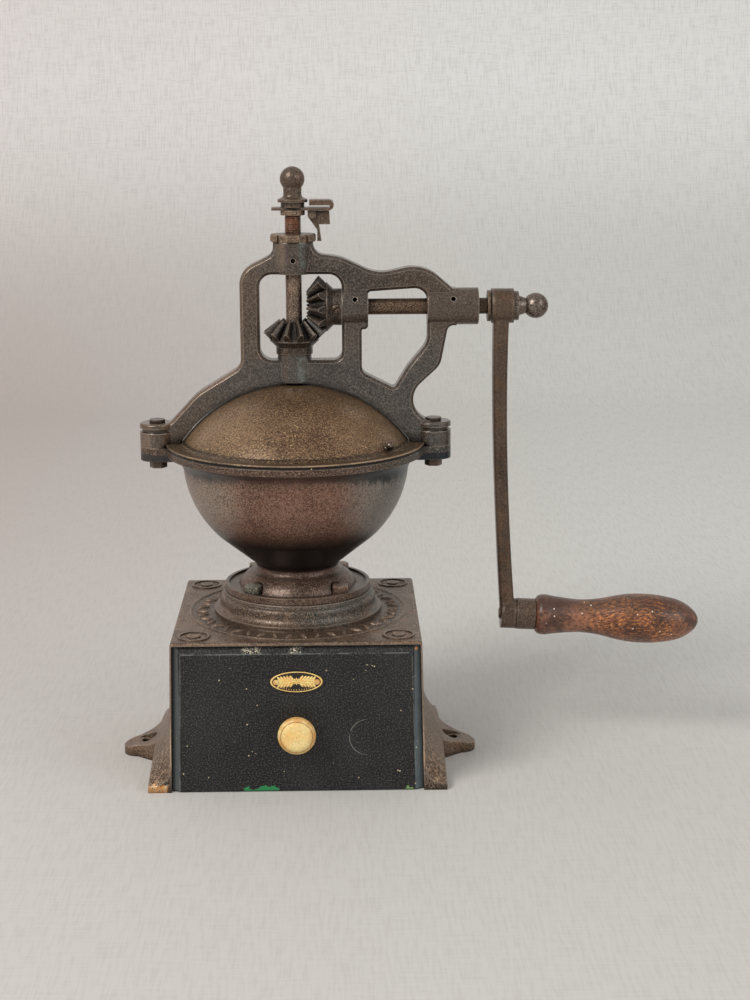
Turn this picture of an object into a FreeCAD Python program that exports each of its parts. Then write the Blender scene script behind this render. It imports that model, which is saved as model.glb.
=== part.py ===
"""Hand crank coffee grinder: cast base with drawer, hopper bowl, gear frame, crank and adjuster.

Millimetres. +X points to the crank, +Y to the back, +Z up. The origin is on the
floor, midway between the two screw holes in the feet.
"""
import FreeCAD, Part
import math
import os
import re

import Sketcher
from FreeCAD import Placement, Rotation, Vector

# Driving dimensions, one spreadsheet cell each
SIZES = {
    # Cast base
    "base_width": 158.6,
    "base_top_width": 153.6,
    "base_depth": 148.0,
    "base_height": 96.0,
    "base_wall": 3.5,
    "base_top_thick": 5.0,
    "base_round": 2.0,
    "base_edge_round": 1.5,
    "rail_width": 9.0,
    "rail_height": 3.0,
    "front_wall": 1.2,
    "front_lip": 2.0,
    "foot_half_width": 92.4,
    "foot_edge_end": 4.0,
    "foot_edge_mid": 14.0,
    "foot_rise_end": 11.0,
    "foot_rise_mid": 52.0,
    "lug_reach": 114.8,
    "lug_half_width": 20.0,
    "lug_tip_radius": 9.5,
    "lug_root_x": 89.0,
    "lug_root_height": 18.0,
    "lug_knee_height": 9.4,
    "lug_tip_height": 5.2,
    "lug_screw_x": 100.0,
    "lug_screw_radius": 3.25,
    "lug_spot_radius": 7.0,
    "lug_spot_height": 7.8,
    "plinth_radius": 53.5,
    "plinth_step_radius": 49.5,
    "plinth_top_radius": 47.0,
    "plinth_height": 15.0,
    "plinth_skirt_rise": 3.0,
    "plinth_cove_rise": 7.5,
    "plinth_step_rise": 9.9,
    "plinth_shoulder_rise": 12.6,
    "chute_radius": 19.5,
    "ring_radius": 69.0,
    "ring_half_width": 0.9,
    "medallion_radius": 10.0,
    "medallion_band": 1.5,
    "medallion_boss_radius": 4.0,
    "medallion_height": 0.8,
    "medallion_inset": 14.0,
    # Hopper bowl
    "bowl_height": 93.0,
    "bowl_flange_radius": 46.2,
    "bowl_flange_thick": 3.2,
    "bowl_lip_width": 2.2,
    "bowl_lip_height": 1.2,
    "bowl_foot_radius": 37.5,
    "bowl_foot_height": 11.5,
    "bowl_neck_radius": 26.3,
    "bowl_neck_height": 16.0,
    "bowl_waist_radius": 30.0,
    "bowl_waist_height": 20.3,
    "bowl_belly_radius": 49.5,
    "bowl_belly_height": 36.0,
    "bowl_side_radius": 71.0,
    "bowl_side_height": 79.0,
    "bowl_rim_radius": 81.5,
    "bowl_rim_thick": 4.0,
    "bowl_wall": 4.5,
    "bowl_belly_inset": 2.8,
    "bowl_belly_lift": 4.3,
    "bowl_bolt_circle": 77.0,
    "bowl_bolt_radius": 2.8,
    "bowl_bolt_length": 13.0,
    "bowl_head_radius": 5.6,
    "bowl_head_height": 5.0,
    "head_clear": 0.5,
    "ear_x": 87.0,
    "ear_radius": 11.0,
    "bowl_ear_thick": 8.5,
    # Burrs
    "burr_bore_radius": 21.5,
    "burr_height": 24.8,
    "burr_ring_top_radius": 14.5,
    "burr_ring_bottom_radius": 17.9,
    "burr_cone_top_radius": 8.5,
    "burr_cone_bottom_radius": 17.0,
    "burr_cone_drop": 2.0,
    "burr_teeth": 12,
    "burr_groove": 2.2,
    "burr_nut_radius": 8.0,
    "burr_nut_thick": 6.0,
    # Lid
    "lid_radius": 87.0,
    "lid_centre_drop": 47.4,
    "lid_sheet": 1.2,
    "lid_gap": 0.5,
    "lid_ring_thick": 2.6,
    "lid_ring_inner": 66.5,
    "lid_eye_radius": 15.0,
    "lid_eye_clear": 0.6,
    "lid_front_angle": 188.0,
    "lid_rear_angle": 190.0,
    "lid_knob_azimuth": -36.0,
    "lid_knob_elevation": 37.0,
    "lid_knob_radius": 2.4,
    "lid_knob_foot_radius": 2.0,
    "lid_knob_stem": 1.2,
    "lid_knob_stand": 3.2,
    # Frame casting
    "arch_gap": 1.0,
    "frame_thick": 14.0,
    "frame_chamfer": 1.8,
    "crank_axis_above_rim": 87.0,
    "frame_left": 33.4,
    "post_width": 12.1,
    "window_right": 29.7,
    "window_above_axis": 20.8,
    "window_below_axis": 32.6,
    "window_top_round": 8.0,
    "window_low_round": 5.5,
    "window_left_round": 8.0,
    "inner_bearing_length": 16.3,
    "mid_post_width": 12.3,
    "outer_bearing_start": 82.8,
    "outer_bearing_end": 114.6,
    "crank_boss_radius": 11.5,
    "frame_small_round": 4.0,
    "leg_aim_x": 52.3,
    "leg_round": 14.0,
    "leg_knee_x": 91.0,
    "leg_knee_drop": 36.2,
    "leg_knee_round": 12.0,
    "leg_head_x": 95.8,
    "hump_foot_x": 98.4,
    "hump_x": 80.4,
    "hump_rise": 27.0,
    "hump_round": 24.0,
    "dip_x": 51.8,
    "dip_rise": 20.7,
    "dip_round": 25.0,
    "brow_x": 28.9,
    "brow_rise": 31.6,
    "brow_round": 30.0,
    "hub_root_drop": 7.0,
    "hub_root_round": 7.2,
    "shoulder_rise": 23.2,
    "shoulder_round": 14.0,
    "left_knee_drop": 36.1,
    "left_knee_round": 8.0,
    "left_bend_x": 61.3,
    "left_bend_drop": 53.0,
    "left_bend_round": 30.0,
    "left_foot_x": 79.0,
    "left_foot_round": 6.0,
    "window_tip_x": 62.2,
    "window_tip_drop": 50.6,
    "window_tip_round": 2.0,
    "window_bend_x": 70.4,
    "window_bend_drop": 37.0,
    "window_cheek_drop": 22.1,
    "window_right_rise": 12.3,
    "window_left_rise": 9.9,
    "window_step_drop": 13.5,
    "window_step_round": 2.4,
    "window_low_drop": 40.4,
    "hub_above_axis": 40.5,
    "hub_radius": 12.3,
    "hub_low_radius": 10.6,
    "hub_low_rise": 3.7,
    "ear_boss_height": 15.0,
    "ear_boss_round": 1.2,
    "ear_drum_height": 9.4,
    "ear_disc_thick": 3.2,
    "ear_waist_radius": 9.6,
    "oil_hole_radius": 1.5,
    "oil_hole_height": 6.4,
    "oil_hole_rise": 29.6,
    "ear_bolt_radius": 3.0,
    "ear_head_radius": 4.9,
    "ear_head_height": 2.0,
    "ear_nut_radius": 5.5,
    "ear_nut_thick": 5.2,
    # Gears
    "gear_teeth": 12,
    "gear_module": 2.9,
    "gear_face_share": 0.5,
    "gear_overhang": 0.03,
    "gear_backlash": 0.45,
    "gear_pressure_angle": 20.0,
    "gear_hub_radius": 11.4,
    "gear_seat_clear": 0.1,
    "gear_screw_radius": 2.6,
    "gear_screw_stand": 0.8,
    "key_width": 3.0,
    "key_depth": 1.6,
    "key_azimuth": -38.0,
    "keyway_above_gear": 5.0,
    # Shafts, nut, finial and pawl
    "shaft_radius": 5.0,
    "running_clear": 0.05,
    "seat_clear": 0.02,
    "thread_radius": 4.7,
    "grind_travel": 2.0,
    "nut_radius": 14.4,
    "nut_thick": 4.6,
    "nut_bevel": 0.8,
    "nut_notches": 6,
    "nut_notch_width": 6.5,
    "nut_notch_depth": 2.2,
    "stub_length": 11.6,
    "collar_radius": 7.5,
    "collar_thick": 3.0,
    "strip_thick": 1.7,
    "strip_band": 3.4,
    "strip_width": 11.0,
    "strip_left": 13.0,
    "strip_right": 22.2,
    "strip_roll_height": 6.4,
    "strip_return": 10.2,
    "spigot_radius": 3.5,
    "spigot_length": 14.0,
    "finial_collar_radius": 7.3,
    "finial_collar_thick": 3.2,
    "finial_flange_radius": 9.2,
    "finial_flange_thick": 2.6,
    "finial_neck_radius": 5.6,
    "finial_ball_radius": 7.6,
    "finial_ball_rise": 17.2,
    "pawl_thick": 4.6,
    "pawl_pivot_x": 11.8,
    "pawl_pivot_drop": 2.6,
    "pawl_pin_radius": 1.2,
    "pawl_ear_thick": 1.5,
    "pawl_ear_half": 2.6,
    "pawl_side_clear": 0.1,
    "pawl_top_clear": 0.5,
    "pawl_tab_reach": 11.2,
    "pawl_tab_height": 8.2,
    "pawl_leg_width": 2.6,
    "pawl_leg_top": 4.4,
    "pawl_rim_clear": 0.6,
    # Crank
    "crank_shaft_start": 9.6,
    "washer_radius": 9.7,
    "washer_thick": 1.8,
    "washer_gap": 5.8,
    "eye_start": 122.8,
    "eye_length": 13.8,
    "eye_radius": 10.8,
    "eye_bore_radius": 4.2,
    "crank_length": 199.3,
    "arm_top_width": 9.7,
    "arm_mid_width": 8.6,
    "arm_low_width": 9.4,
    "arm_top_depth": 14.0,
    "arm_straight_depth": 12.8,
    "arm_bend_depth": 11.9,
    "arm_low_depth": 10.5,
    "arm_straight_drop": 84.0,
    "arm_bend_drop": 132.0,
    "arm_bend_start": 1.8,
    "arm_bend": 6.0,
    "arm_corner": 2.2,
    "arm_boss_radius": 9.7,
    "arm_boss_length": 9.4,
    "ball_flange_radius": 9.1,
    "ball_flange_thick": 3.1,
    "ball_root_radius": 6.4,
    "ball_neck_radius": 4.8,
    "ball_radius": 7.9,
    "ball_reach": 14.0,
    "thread_length": 9.0,
    # Grip
    "grip_tilt": 2.9,
    "spindle_radius": 4.0,
    "spindle_cap_radius": 5.0,
    "spindle_cap_face": 2.8,
    "spindle_cap_thick": 1.4,
    "rivet_height": 1.4,
    "rivet_radius": 3.2,
    "ferrule_radius": 10.0,
    "ferrule_bevel": 0.6,
    "ferrule_length": 12.3,
    "grip_play": 0.3,
    "grip_length": 104.0,
    "grip_bead_radius": 12.9,
    "grip_bead_length": 9.0,
    "grip_waist_at": 27.0,
    "grip_waist_radius": 10.6,
    "grip_belly_at": 70.0,
    "grip_belly_radius": 15.9,
    "grip_shoulder_at": 87.0,
    "grip_shoulder_radius": 14.2,
    "grip_tip_radius": 5.6,
    # Drawer
    "drawer_clear": 0.4,
    "drawer_front_thick": 12.0,
    "drawer_front_rise": 1.0,
    "drawer_bevel": 5.4,
    "drawer_bevel_depth": 3.0,
    "drawer_side_thick": 7.0,
    "drawer_bottom_thick": 5.0,
    "drawer_side_height": 66.0,
    "drawer_back_gap": 4.0,
    "knob_height": 41.0,
    "knob_radius": 11.5,
    "knob_stem_radius": 6.0,
    "knob_foot_radius": 7.5,
    "knob_neck_radius": 7.2,
    "knob_reach": 16.0,
    "knob_foot_reach": 3.2,
    "knob_neck_reach": 8.0,
    "knob_head_reach": 9.6,
    "knob_widest_reach": 12.0,
    "knob_rim": 2.6,
    "knob_dish": 1.6,
    "knob_screw_radius": 2.5,
    "knob_screw_head": 4.6,
    "plate_height": 71.4,
    "plate_half_width": 16.5,
    "plate_half_height": 6.8,
    "plate_thick": 1.2,
    "plate_edge_thick": 0.7,
    "plate_step": 1.0,
    "plate_pin_at": 12.6,
    "plate_pin_radius": 1.1,
    "plate_pin_cap": 1.65,
    "plate_pin_head": 0.7,
    "plate_pin_length": 6.0,
}

# Bulge of an arc: the tangent of a quarter of the angle that it turns through
QUARTER = math.tan(math.pi / 8)
HALF = 1.0
FLARE_COVE_END = -0.3
FLARE_COVE_MID = -0.12
LUG_COVE = 0.22

doc = FreeCAD.newDocument("coffee_grinder")
sheet = doc.addObject("Spreadsheet::Sheet", "dims")
for row, (alias, size) in enumerate(SIZES.items(), 1):
    sheet.set(f"A{row}", str(size))
    sheet.setAlias(f"A{row}", alias)
doc.recompute()

PIECES = []


def bound(text):
    """The expression with every size's name pointing at its cell."""
    return re.sub(r"[a-z_]\w*", lambda word: f"dims.{word[0]}" if word[0] in SIZES else word[0], text)


def value(text):
    """The present value of an expression."""
    return float(sheet.evalExpression(bound(text)))


def new_body(label):
    """An empty body that becomes one piece of the grinder."""
    body = doc.addObject("PartDesign::Body", label)
    body.Label = label
    PIECES.append(body)
    return body


def datum(body, role):
    """A plane or axis of the body's own origin."""
    return next(part for part in body.Origin.OriginFeatures if part.Role == role)


def attach(feature, body, role, offset=(None, None, None), rotation=None):
    """Put a sketch or primitive on an origin plane, shifted in the plane's own axes."""
    feature.AttachmentSupport = [(datum(body, role), "")]
    feature.MapMode = "FlatFace"
    if rotation:
        feature.AttachmentOffset = Placement(Vector(), rotation)
    for axis, text in zip("xyz", offset):
        if text:
            feature.setExpression(f"AttachmentOffset.Base.{axis}", bound(text))
    return feature


def arc_centre(first, second, bulge):
    """Centre of the arc that joins two vertices; a positive bulge turns left."""
    share = (1 - bulge * bulge) / (4 * bulge)
    across = f"(({first[0]}) + ({second[0]})) / 2 - (({second[1]}) - ({first[1]})) * {share:.9f}"
    up = f"(({first[1]}) + ({second[1]})) / 2 + (({second[0]}) - ({first[0]})) * {share:.9f}"
    return across, up


def arc_between(start, end, centre, bulge):
    """The arc about a centre; arcs are stored turning left, so a right turn runs backwards."""
    first, last = (start, end) if bulge > 0 else (end, start)
    angles = [math.atan2(point.y - centre.y, point.x - centre.x) for point in (first, last)]
    return Part.ArcOfCircle(Part.Circle(centre, Vector(0, 0, 1), (start - centre).Length), *angles)


def corner_reach(before, corner, after, radius):
    """How far a round corner starts from its sharp point."""
    return radius / math.tan((before - corner).getAngle(after - corner) / 2)


def outline(sketch, vertices):
    """Closed outline. A vertex is (x, y); (x, y, bulge) where an arc leads to the next vertex;
    or (x, y, radius as text) where the corner itself is rounded."""
    count = len(vertices)
    places = [Vector(value(vertex[0]), value(vertex[1]), 0) for vertex in vertices]
    rounds = {index: vertex[2] for index, vertex in enumerate(vertices) if isinstance(vertex[-1], str)
              and len(vertex) == 3}
    starts = list(places)
    stops = list(places)
    for index, radius in rounds.items():
        corner, before, after = places[index], places[index - 1], places[(index + 1) % count]
        reach = corner_reach(before, corner, after, value(radius))
        stops[index] = corner + (before - corner).normalize() * reach
        starts[index] = corner + (after - corner).normalize() * reach
    ends = []
    rules = []
    for index, vertex in enumerate(vertices):
        start, end = starts[index], stops[(index + 1) % count]
        if len(vertex) == 2 or index in rounds:
            ends.append((sketch.addGeometry(Part.LineSegment(start, end), False), 1, 2))
            continue
        texts = arc_centre(vertex, vertices[(index + 1) % count], vertex[2])
        centre = Vector(*[value(text) for text in texts], 0)
        number = sketch.addGeometry(arc_between(start, end, centre, vertex[2]), False)
        ends.append((number, 1, 2) if vertex[2] > 0 else (number, 2, 1))
        upright = abs(end.y - start.y) > abs(end.x - start.x)
        rule, text = ("DistanceX", texts[0]) if upright else ("DistanceY", texts[1])
        rules.append((Sketcher.Constraint(rule, -1, 1, number, 3, value(text)), text))
    for index, vertex in enumerate(vertices):
        last, _, last_end = ends[index - 1]
        number, start, _ = ends[index]
        if index in rounds:
            number, start = round_corner(sketch, rules, last, number, places[index], stops[index],
                                         starts[index], rounds[index])
        else:
            rules.append((Sketcher.Constraint("Coincident", last, last_end, number, start), None))
        for rule, text in zip(("DistanceX", "DistanceY"), vertex):
            rules.append((Sketcher.Constraint(rule, -1, 1, number, start, value(text)), text))
    numbers = sketch.addConstraint([rule for rule, _ in rules])
    for number, (_, text) in zip(numbers, rules):
        if text:
            sketch.setExpression(f"Constraints[{number}]", bound(text))


def round_corner(sketch, rules, before, after, corner, stop, start, radius):
    """Arc tangent to two lines, which still aim at the sharp corner; gives that corner's point."""
    turn_left = (corner - stop).cross(start - corner).z > 0
    inward = (stop - corner).normalize() + (start - corner).normalize()
    reach = value(radius) / math.sin((stop - corner).getAngle(start - corner) / 2)
    centre = corner + inward.normalize() * reach
    arc = sketch.addGeometry(arc_between(stop, start, centre, 1 if turn_left else -1), False)
    first, last = (1, 2) if turn_left else (2, 1)
    point = sketch.addGeometry(Part.Point(corner), True)
    rules += [
        (Sketcher.Constraint("Tangent", before, 2, arc, first), None),
        (Sketcher.Constraint("Tangent", arc, last, after, 1), None),
        (Sketcher.Constraint("PointOnObject", point, 1, before), None),
        (Sketcher.Constraint("PointOnObject", point, 1, after), None),
        (Sketcher.Constraint("Radius", arc, value(radius)), radius),
    ]
    return point, 1


def sketched(body, role, loops, shift=None):
    """A sketch of one or more closed outlines on an origin plane."""
    sketch = body.newObject("Sketcher::SketchObject", f"{body.Label}_sketch")
    attach(sketch, body, role, (None, None, shift))
    for loop in loops:
        outline(sketch, loop)
    return sketch


def mirrored(vertices):
    """The same outline on the other side of the vertical axis."""
    return [(f"-({vertex[0]})", vertex[1], *[-bulge for bulge in vertex[2:]]) for vertex in vertices]


def revolve(body, vertices, axis="V_Axis", role="XZ_Plane", angle=None):
    """Turn an outline about an axis of its sketch, all round or evenly to both sides."""
    feature = body.newObject("PartDesign::Revolution", f"{body.Label}_turned")
    sketch = sketched(body, role, [vertices])
    feature.Profile = sketch
    feature.ReferenceAxis = (sketch, [axis])
    feature.Angle = 360
    if angle:
        feature.Midplane = True
        feature.setExpression("Angle", bound(angle))
    return feature


def circle(x, y, radius):
    """A round outline."""
    return [(f"{x} - ({radius})", y, HALF), (f"{x} + ({radius})", y, HALF)]


def hexagon(x, y, radius):
    """Regular hexagon by its corner radius."""
    return [(f"{x} + ({radius}) * cos({60 * corner})", f"{y} + ({radius}) * sin({60 * corner})")
            for corner in range(6)]


def ball_top(radius, centre, below):
    """The part of a ball's section from some degrees below its equator up to its top."""
    start = (f"{radius} * cos({below})", f"{centre} - {radius} * sin({below})")
    return [(*start, math.tan(math.radians(90 + below) / 4)), ("0", f"{centre} + {radius}")]


def turned(label, vertices, axis="V_Axis"):
    """A piece that is one turned profile."""
    body = new_body(label)
    revolve(body, vertices, axis)
    return body


def extrude(body, role, loops, length, shift=None, kind="Pad", both_ways=False, backwards=False):
    """A pad or pocket of the outlines."""
    feature = body.newObject(f"PartDesign::{kind}", f"{body.Label}_{kind.lower()}")
    feature.Profile = sketched(body, role, loops, shift)
    feature.SideType = "Symmetric" if both_ways else "One side"
    feature.Reversed = backwards
    feature.setExpression("Length", bound(length))
    return feature


def cylinder(body, radius, length, role="XY_Plane", offset=(None, None, None), cut=False, rotation=None):
    """A round boss, or a round hole where it cuts, along the normal of an origin plane."""
    kind = "SubtractiveCylinder" if cut else "AdditiveCylinder"
    feature = body.newObject(f"PartDesign::{kind}", f"{body.Label}_{'bore' if cut else 'boss'}")
    attach(feature, body, role, offset, rotation)
    feature.setExpression("Radius", bound(radius))
    feature.setExpression("Height", bound(length))
    return feature


def loft(body, sections):
    """A smooth loft through sketches in order."""
    feature = body.newObject("PartDesign::AdditiveLoft", f"{body.Label}_loft")
    feature.Profile = sections[0]
    feature.Sections = sections[1:]
    return feature


def around(body, features, count):
    """Repeat features evenly about the body's Z axis."""
    feature = body.newObject("PartDesign::PolarPattern", f"{body.Label}_pattern")
    feature.Originals = features
    feature.Axis = (datum(body, "Z_Axis"), [""])
    feature.Angle = 360
    feature.setExpression("Occurrences", bound(count))
    body.Tip = feature
    return feature


def dress(body, kind, size, chosen):
    """Fillet or chamfer the edges whose bounding box the test accepts."""
    doc.recompute()
    base = body.Tip
    names = [f"Edge{number}" for number, edge in enumerate(base.Shape.Edges, 1) if chosen(edge.BoundBox)]
    feature = body.newObject(f"PartDesign::{kind}", f"{body.Label}_{kind.lower()}")
    feature.Base = (base, names)
    feature.setExpression("Radius" if kind == "Fillet" else "Size", bound(size))
    return feature


def seat(piece, x=None, y=None, z=None, rotation=None):
    """Place a piece that was drawn about its own axis."""
    if rotation:
        piece.Placement = Placement(Vector(), rotation)
    for axis, text in (("x", x), ("y", y), ("z", z)):
        if text:
            piece.setExpression(f"Placement.Base.{axis}", bound(text))
    return piece


def near(first, second):
    """Whether two lengths agree to a hundredth of a millimetre."""
    return abs(first - second) < 0.01


# Levels and places that follow from the sizes
FLANGE_BOTTOM = "(base_height + plinth_height)"
RIM_TOP = f"({FLANGE_BOTTOM} + bowl_height)"
RING_TOP = f"({RIM_TOP} + lid_ring_thick)"
LID_CENTRE = f"({RIM_TOP} - lid_centre_drop)"
ARCH_RADIUS = "(lid_radius + arch_gap)"
ARCH_FOOT = f"sqrt({ARCH_RADIUS} * {ARCH_RADIUS} - lid_centre_drop * lid_centre_drop)"
RING_RISE = "(lid_centre_drop + lid_ring_thick)"
LEG_INSIDE = f"sqrt({ARCH_RADIUS} * {ARCH_RADIUS} - {RING_RISE} * {RING_RISE})"
ARCH_TOP = f"({LID_CENTRE} + {ARCH_RADIUS})"
AXIS = f"({RIM_TOP} + crank_axis_above_rim)"
EAR_TOP = f"({RIM_TOP} + ear_boss_height)"
HUB_TOP = f"({AXIS} + hub_above_axis)"
SILL = f"({AXIS} - window_below_axis)"
NUT_TOP = f"({HUB_TOP} + gear_seat_clear + nut_thick)"
COLLAR_BOTTOM = f"({NUT_TOP} + stub_length)"
STRIP_BOTTOM = f"({COLLAR_BOTTOM} + collar_thick)"
STRIP_TOP = f"({STRIP_BOTTOM} + strip_thick)"
PITCH_RADIUS = "(gear_module * gear_teeth / 2)"
BURR_TOP = f"({FLANGE_BOTTOM} + burr_height)"
CONE_BOTTOM = f"({FLANGE_BOTTOM} + burr_cone_drop)"
GRIP_AXIS = f"({AXIS} - crank_length)"
ARM_LOW_X = "(eye_start + eye_length / 2 + arm_bend)"
FRONT = "(-base_depth / 2)"
REBATE_TOP = "(base_height - front_lip)"


def wall_x(height):
    """Half width outside the base's sloping side walls at a height."""
    return f"(base_width / 2 - (base_width - base_top_width) / 2 * ({height}) / base_height)"


def flare_section(rise, edge, bulge):
    """Section of the right foot's cove, from the floor up the wall."""
    return [
        ("base_width / 2 - base_wall / 2", "0"),
        ("foot_half_width", "0"),
        ("foot_half_width", edge, bulge),
        (wall_x(rise), rise),
        (f"{wall_x(rise)} - base_wall / 2", rise),
    ]


def lug_plan():
    """Plan of the right screw lug."""
    return [
        ("base_width / 2 - base_wall / 2", "-lug_half_width"),
        ("foot_half_width", "-lug_half_width"),
        ("lug_reach - lug_tip_radius", "-lug_tip_radius", HALF),
        ("lug_reach - lug_tip_radius", "lug_tip_radius"),
        ("foot_half_width", "lug_half_width"),
        ("base_width / 2 - base_wall / 2", "lug_half_width"),
    ]


def lug_slope():
    """What the coved and sloping top takes off the lug, seen from the front."""
    return [
        ("lug_root_x", "lug_root_height", LUG_COVE),
        ("lug_screw_x", "lug_knee_height"),
        ("lug_reach", "lug_tip_height"),
        ("lug_reach + lug_tip_radius", "lug_tip_height"),
        ("lug_reach + lug_tip_radius", "lug_root_height + lug_tip_height"),
        ("lug_root_x", "lug_root_height + lug_tip_height"),
    ]


def front_rebate():
    """Step in the front of the walls and top that takes the drawer's panel."""
    low = "base_width / 2 - front_wall"
    high = f"({wall_x(REBATE_TOP)} - front_wall)"
    return [(f"-({low})", "-base_wall"), (low, "-base_wall"), (high, REBATE_TOP), (f"-{high}", REBATE_TOP)]


def base_housing():
    """Hollow cast box, open at the front and below, with drawer rails, plinth, feet and lugs."""
    body = new_body("base_housing")
    corner = "base_height - base_round"
    half_top = "base_top_width / 2"
    extrude(body, "XZ_Plane", [[
        ("-base_width / 2", "0"),
        ("base_width / 2", "0"),
        (half_top, corner, QUARTER),
        (f"{half_top} - base_round", "base_height"),
        (f"-{half_top} + base_round", "base_height", QUARTER),
        (f"-{half_top}", corner),
    ]], "base_depth", both_ways=True)
    back = value("base_depth / 2")
    top = value(corner)
    dress(body, "Fillet", "base_edge_round", lambda box: near(box.YMin, back) and near(box.YMax, back)
          and box.ZMax > 1)
    dress(body, "Fillet", "base_edge_round", lambda box: near(box.YMin, -back) and near(box.YMax, -back)
          and box.ZMin > top - 1)
    for flip in (list, mirrored):
        sections = []
        for shift, rise, edge, bulge in (
            ("base_depth / 2", "foot_rise_end", "foot_edge_end", FLARE_COVE_END),
            ("0", "foot_rise_mid", "foot_edge_mid", FLARE_COVE_MID),
            ("-base_depth / 2", "foot_rise_end", "foot_edge_end", FLARE_COVE_END),
        ):
            section = flip(flare_section(rise, edge, bulge))
            sections.append(sketched(body, "XZ_Plane", [section], shift))
        extrude(body, "XY_Plane", [flip(lug_plan())], "lug_root_height")
        extrude(body, "XZ_Plane", [flip(lug_slope())], "lug_half_width * 3", kind="Pocket", both_ways=True)
        loft(body, sections)
    revolve(body, [
        ("0", "base_height - base_top_thick"),
        ("plinth_radius", "base_height - base_top_thick"),
        ("plinth_radius", "base_height + plinth_skirt_rise", -QUARTER),
        ("plinth_step_radius", "base_height + plinth_cove_rise"),
        ("plinth_step_radius", "base_height + plinth_step_rise", QUARTER),
        ("plinth_top_radius", "base_height + plinth_shoulder_rise"),
        ("plinth_top_radius", FLANGE_BOTTOM),
        ("0", FLANGE_BOTTOM),
    ])
    revolve(body, [
        ("ring_radius - ring_half_width", "base_height - base_top_thick / 2"),
        ("ring_radius + ring_half_width", "base_height - base_top_thick / 2"),
        ("ring_radius + ring_half_width", "base_height", HALF),
        ("ring_radius - ring_half_width", "base_height"),
    ])
    ceiling = "base_height - base_top_thick"
    inner_low = f"{wall_x('rail_height')} - base_wall"
    inner_high = f"{wall_x(ceiling)} - base_wall"
    extrude(body, "XZ_Plane", [[
        ("-base_width / 2 + base_wall + rail_width", "-base_wall"),
        ("base_width / 2 - base_wall - rail_width", "-base_wall"),
        ("base_width / 2 - base_wall - rail_width", "rail_height"),
        (inner_low, "rail_height"),
        (inner_high, ceiling),
        (f"-({inner_high})", ceiling),
        (f"-({inner_low})", "rail_height"),
        ("-base_width / 2 + base_wall + rail_width", "rail_height"),
    ]], "base_depth - base_wall", shift="base_depth / 2", kind="Pocket")
    extrude(body, "XZ_Plane", [front_rebate()], "drawer_front_thick + drawer_clear", shift="base_depth / 2",
            kind="Pocket")
    cylinder(body, "chute_radius", "plinth_height + base_top_thick * 3",
             offset=(None, None, "base_height - base_top_thick * 2"), cut=True)
    for side in ("", "-"):
        for level in ("-1", "lug_spot_height"):
            radius = "lug_screw_radius" if level == "-1" else "lug_spot_radius"
            cylinder(body, radius, "lug_root_height * 2", offset=(f"{side}lug_screw_x", None, level),
                     cut=True)
    medallions = []
    for across in ("", "-"):
        for along in ("", "-"):
            place = (f"{across}(base_top_width / 2 - medallion_inset)",
                     f"{along}(base_depth / 2 - medallion_inset)")
            medallions += [circle(*place, radius) for radius in
                           ("medallion_radius", "medallion_radius - medallion_band", "medallion_boss_radius")]
            cylinder(body, "bowl_bolt_radius + seat_clear", "bowl_bolt_length",
                     offset=(f"{across}{BOLT_AT}", f"{along}{BOLT_AT}",
                             f"{FLANGE_BOTTOM} + bowl_flange_thick - bowl_bolt_length"), cut=True)
    extrude(body, "XY_Plane", medallions, "front_lip / 2 + medallion_height",
            shift="base_height - front_lip / 2")


BOLT_AT = "(bowl_bolt_circle / 2 * cos(45))"


def level(height):
    """A height above the bowl's foot, in the common frame."""
    return f"({FLANGE_BOTTOM} + ({height}))"


def ear_plan(radius):
    """Plan of the right-hand ear, a tongue with a round end."""
    return [
        ("bowl_side_radius - bowl_wall / 2", f"-({radius})"),
        ("ear_x", f"-({radius})", HALF),
        ("ear_x", radius),
        ("bowl_side_radius - bowl_wall / 2", radius),
    ]


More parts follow.
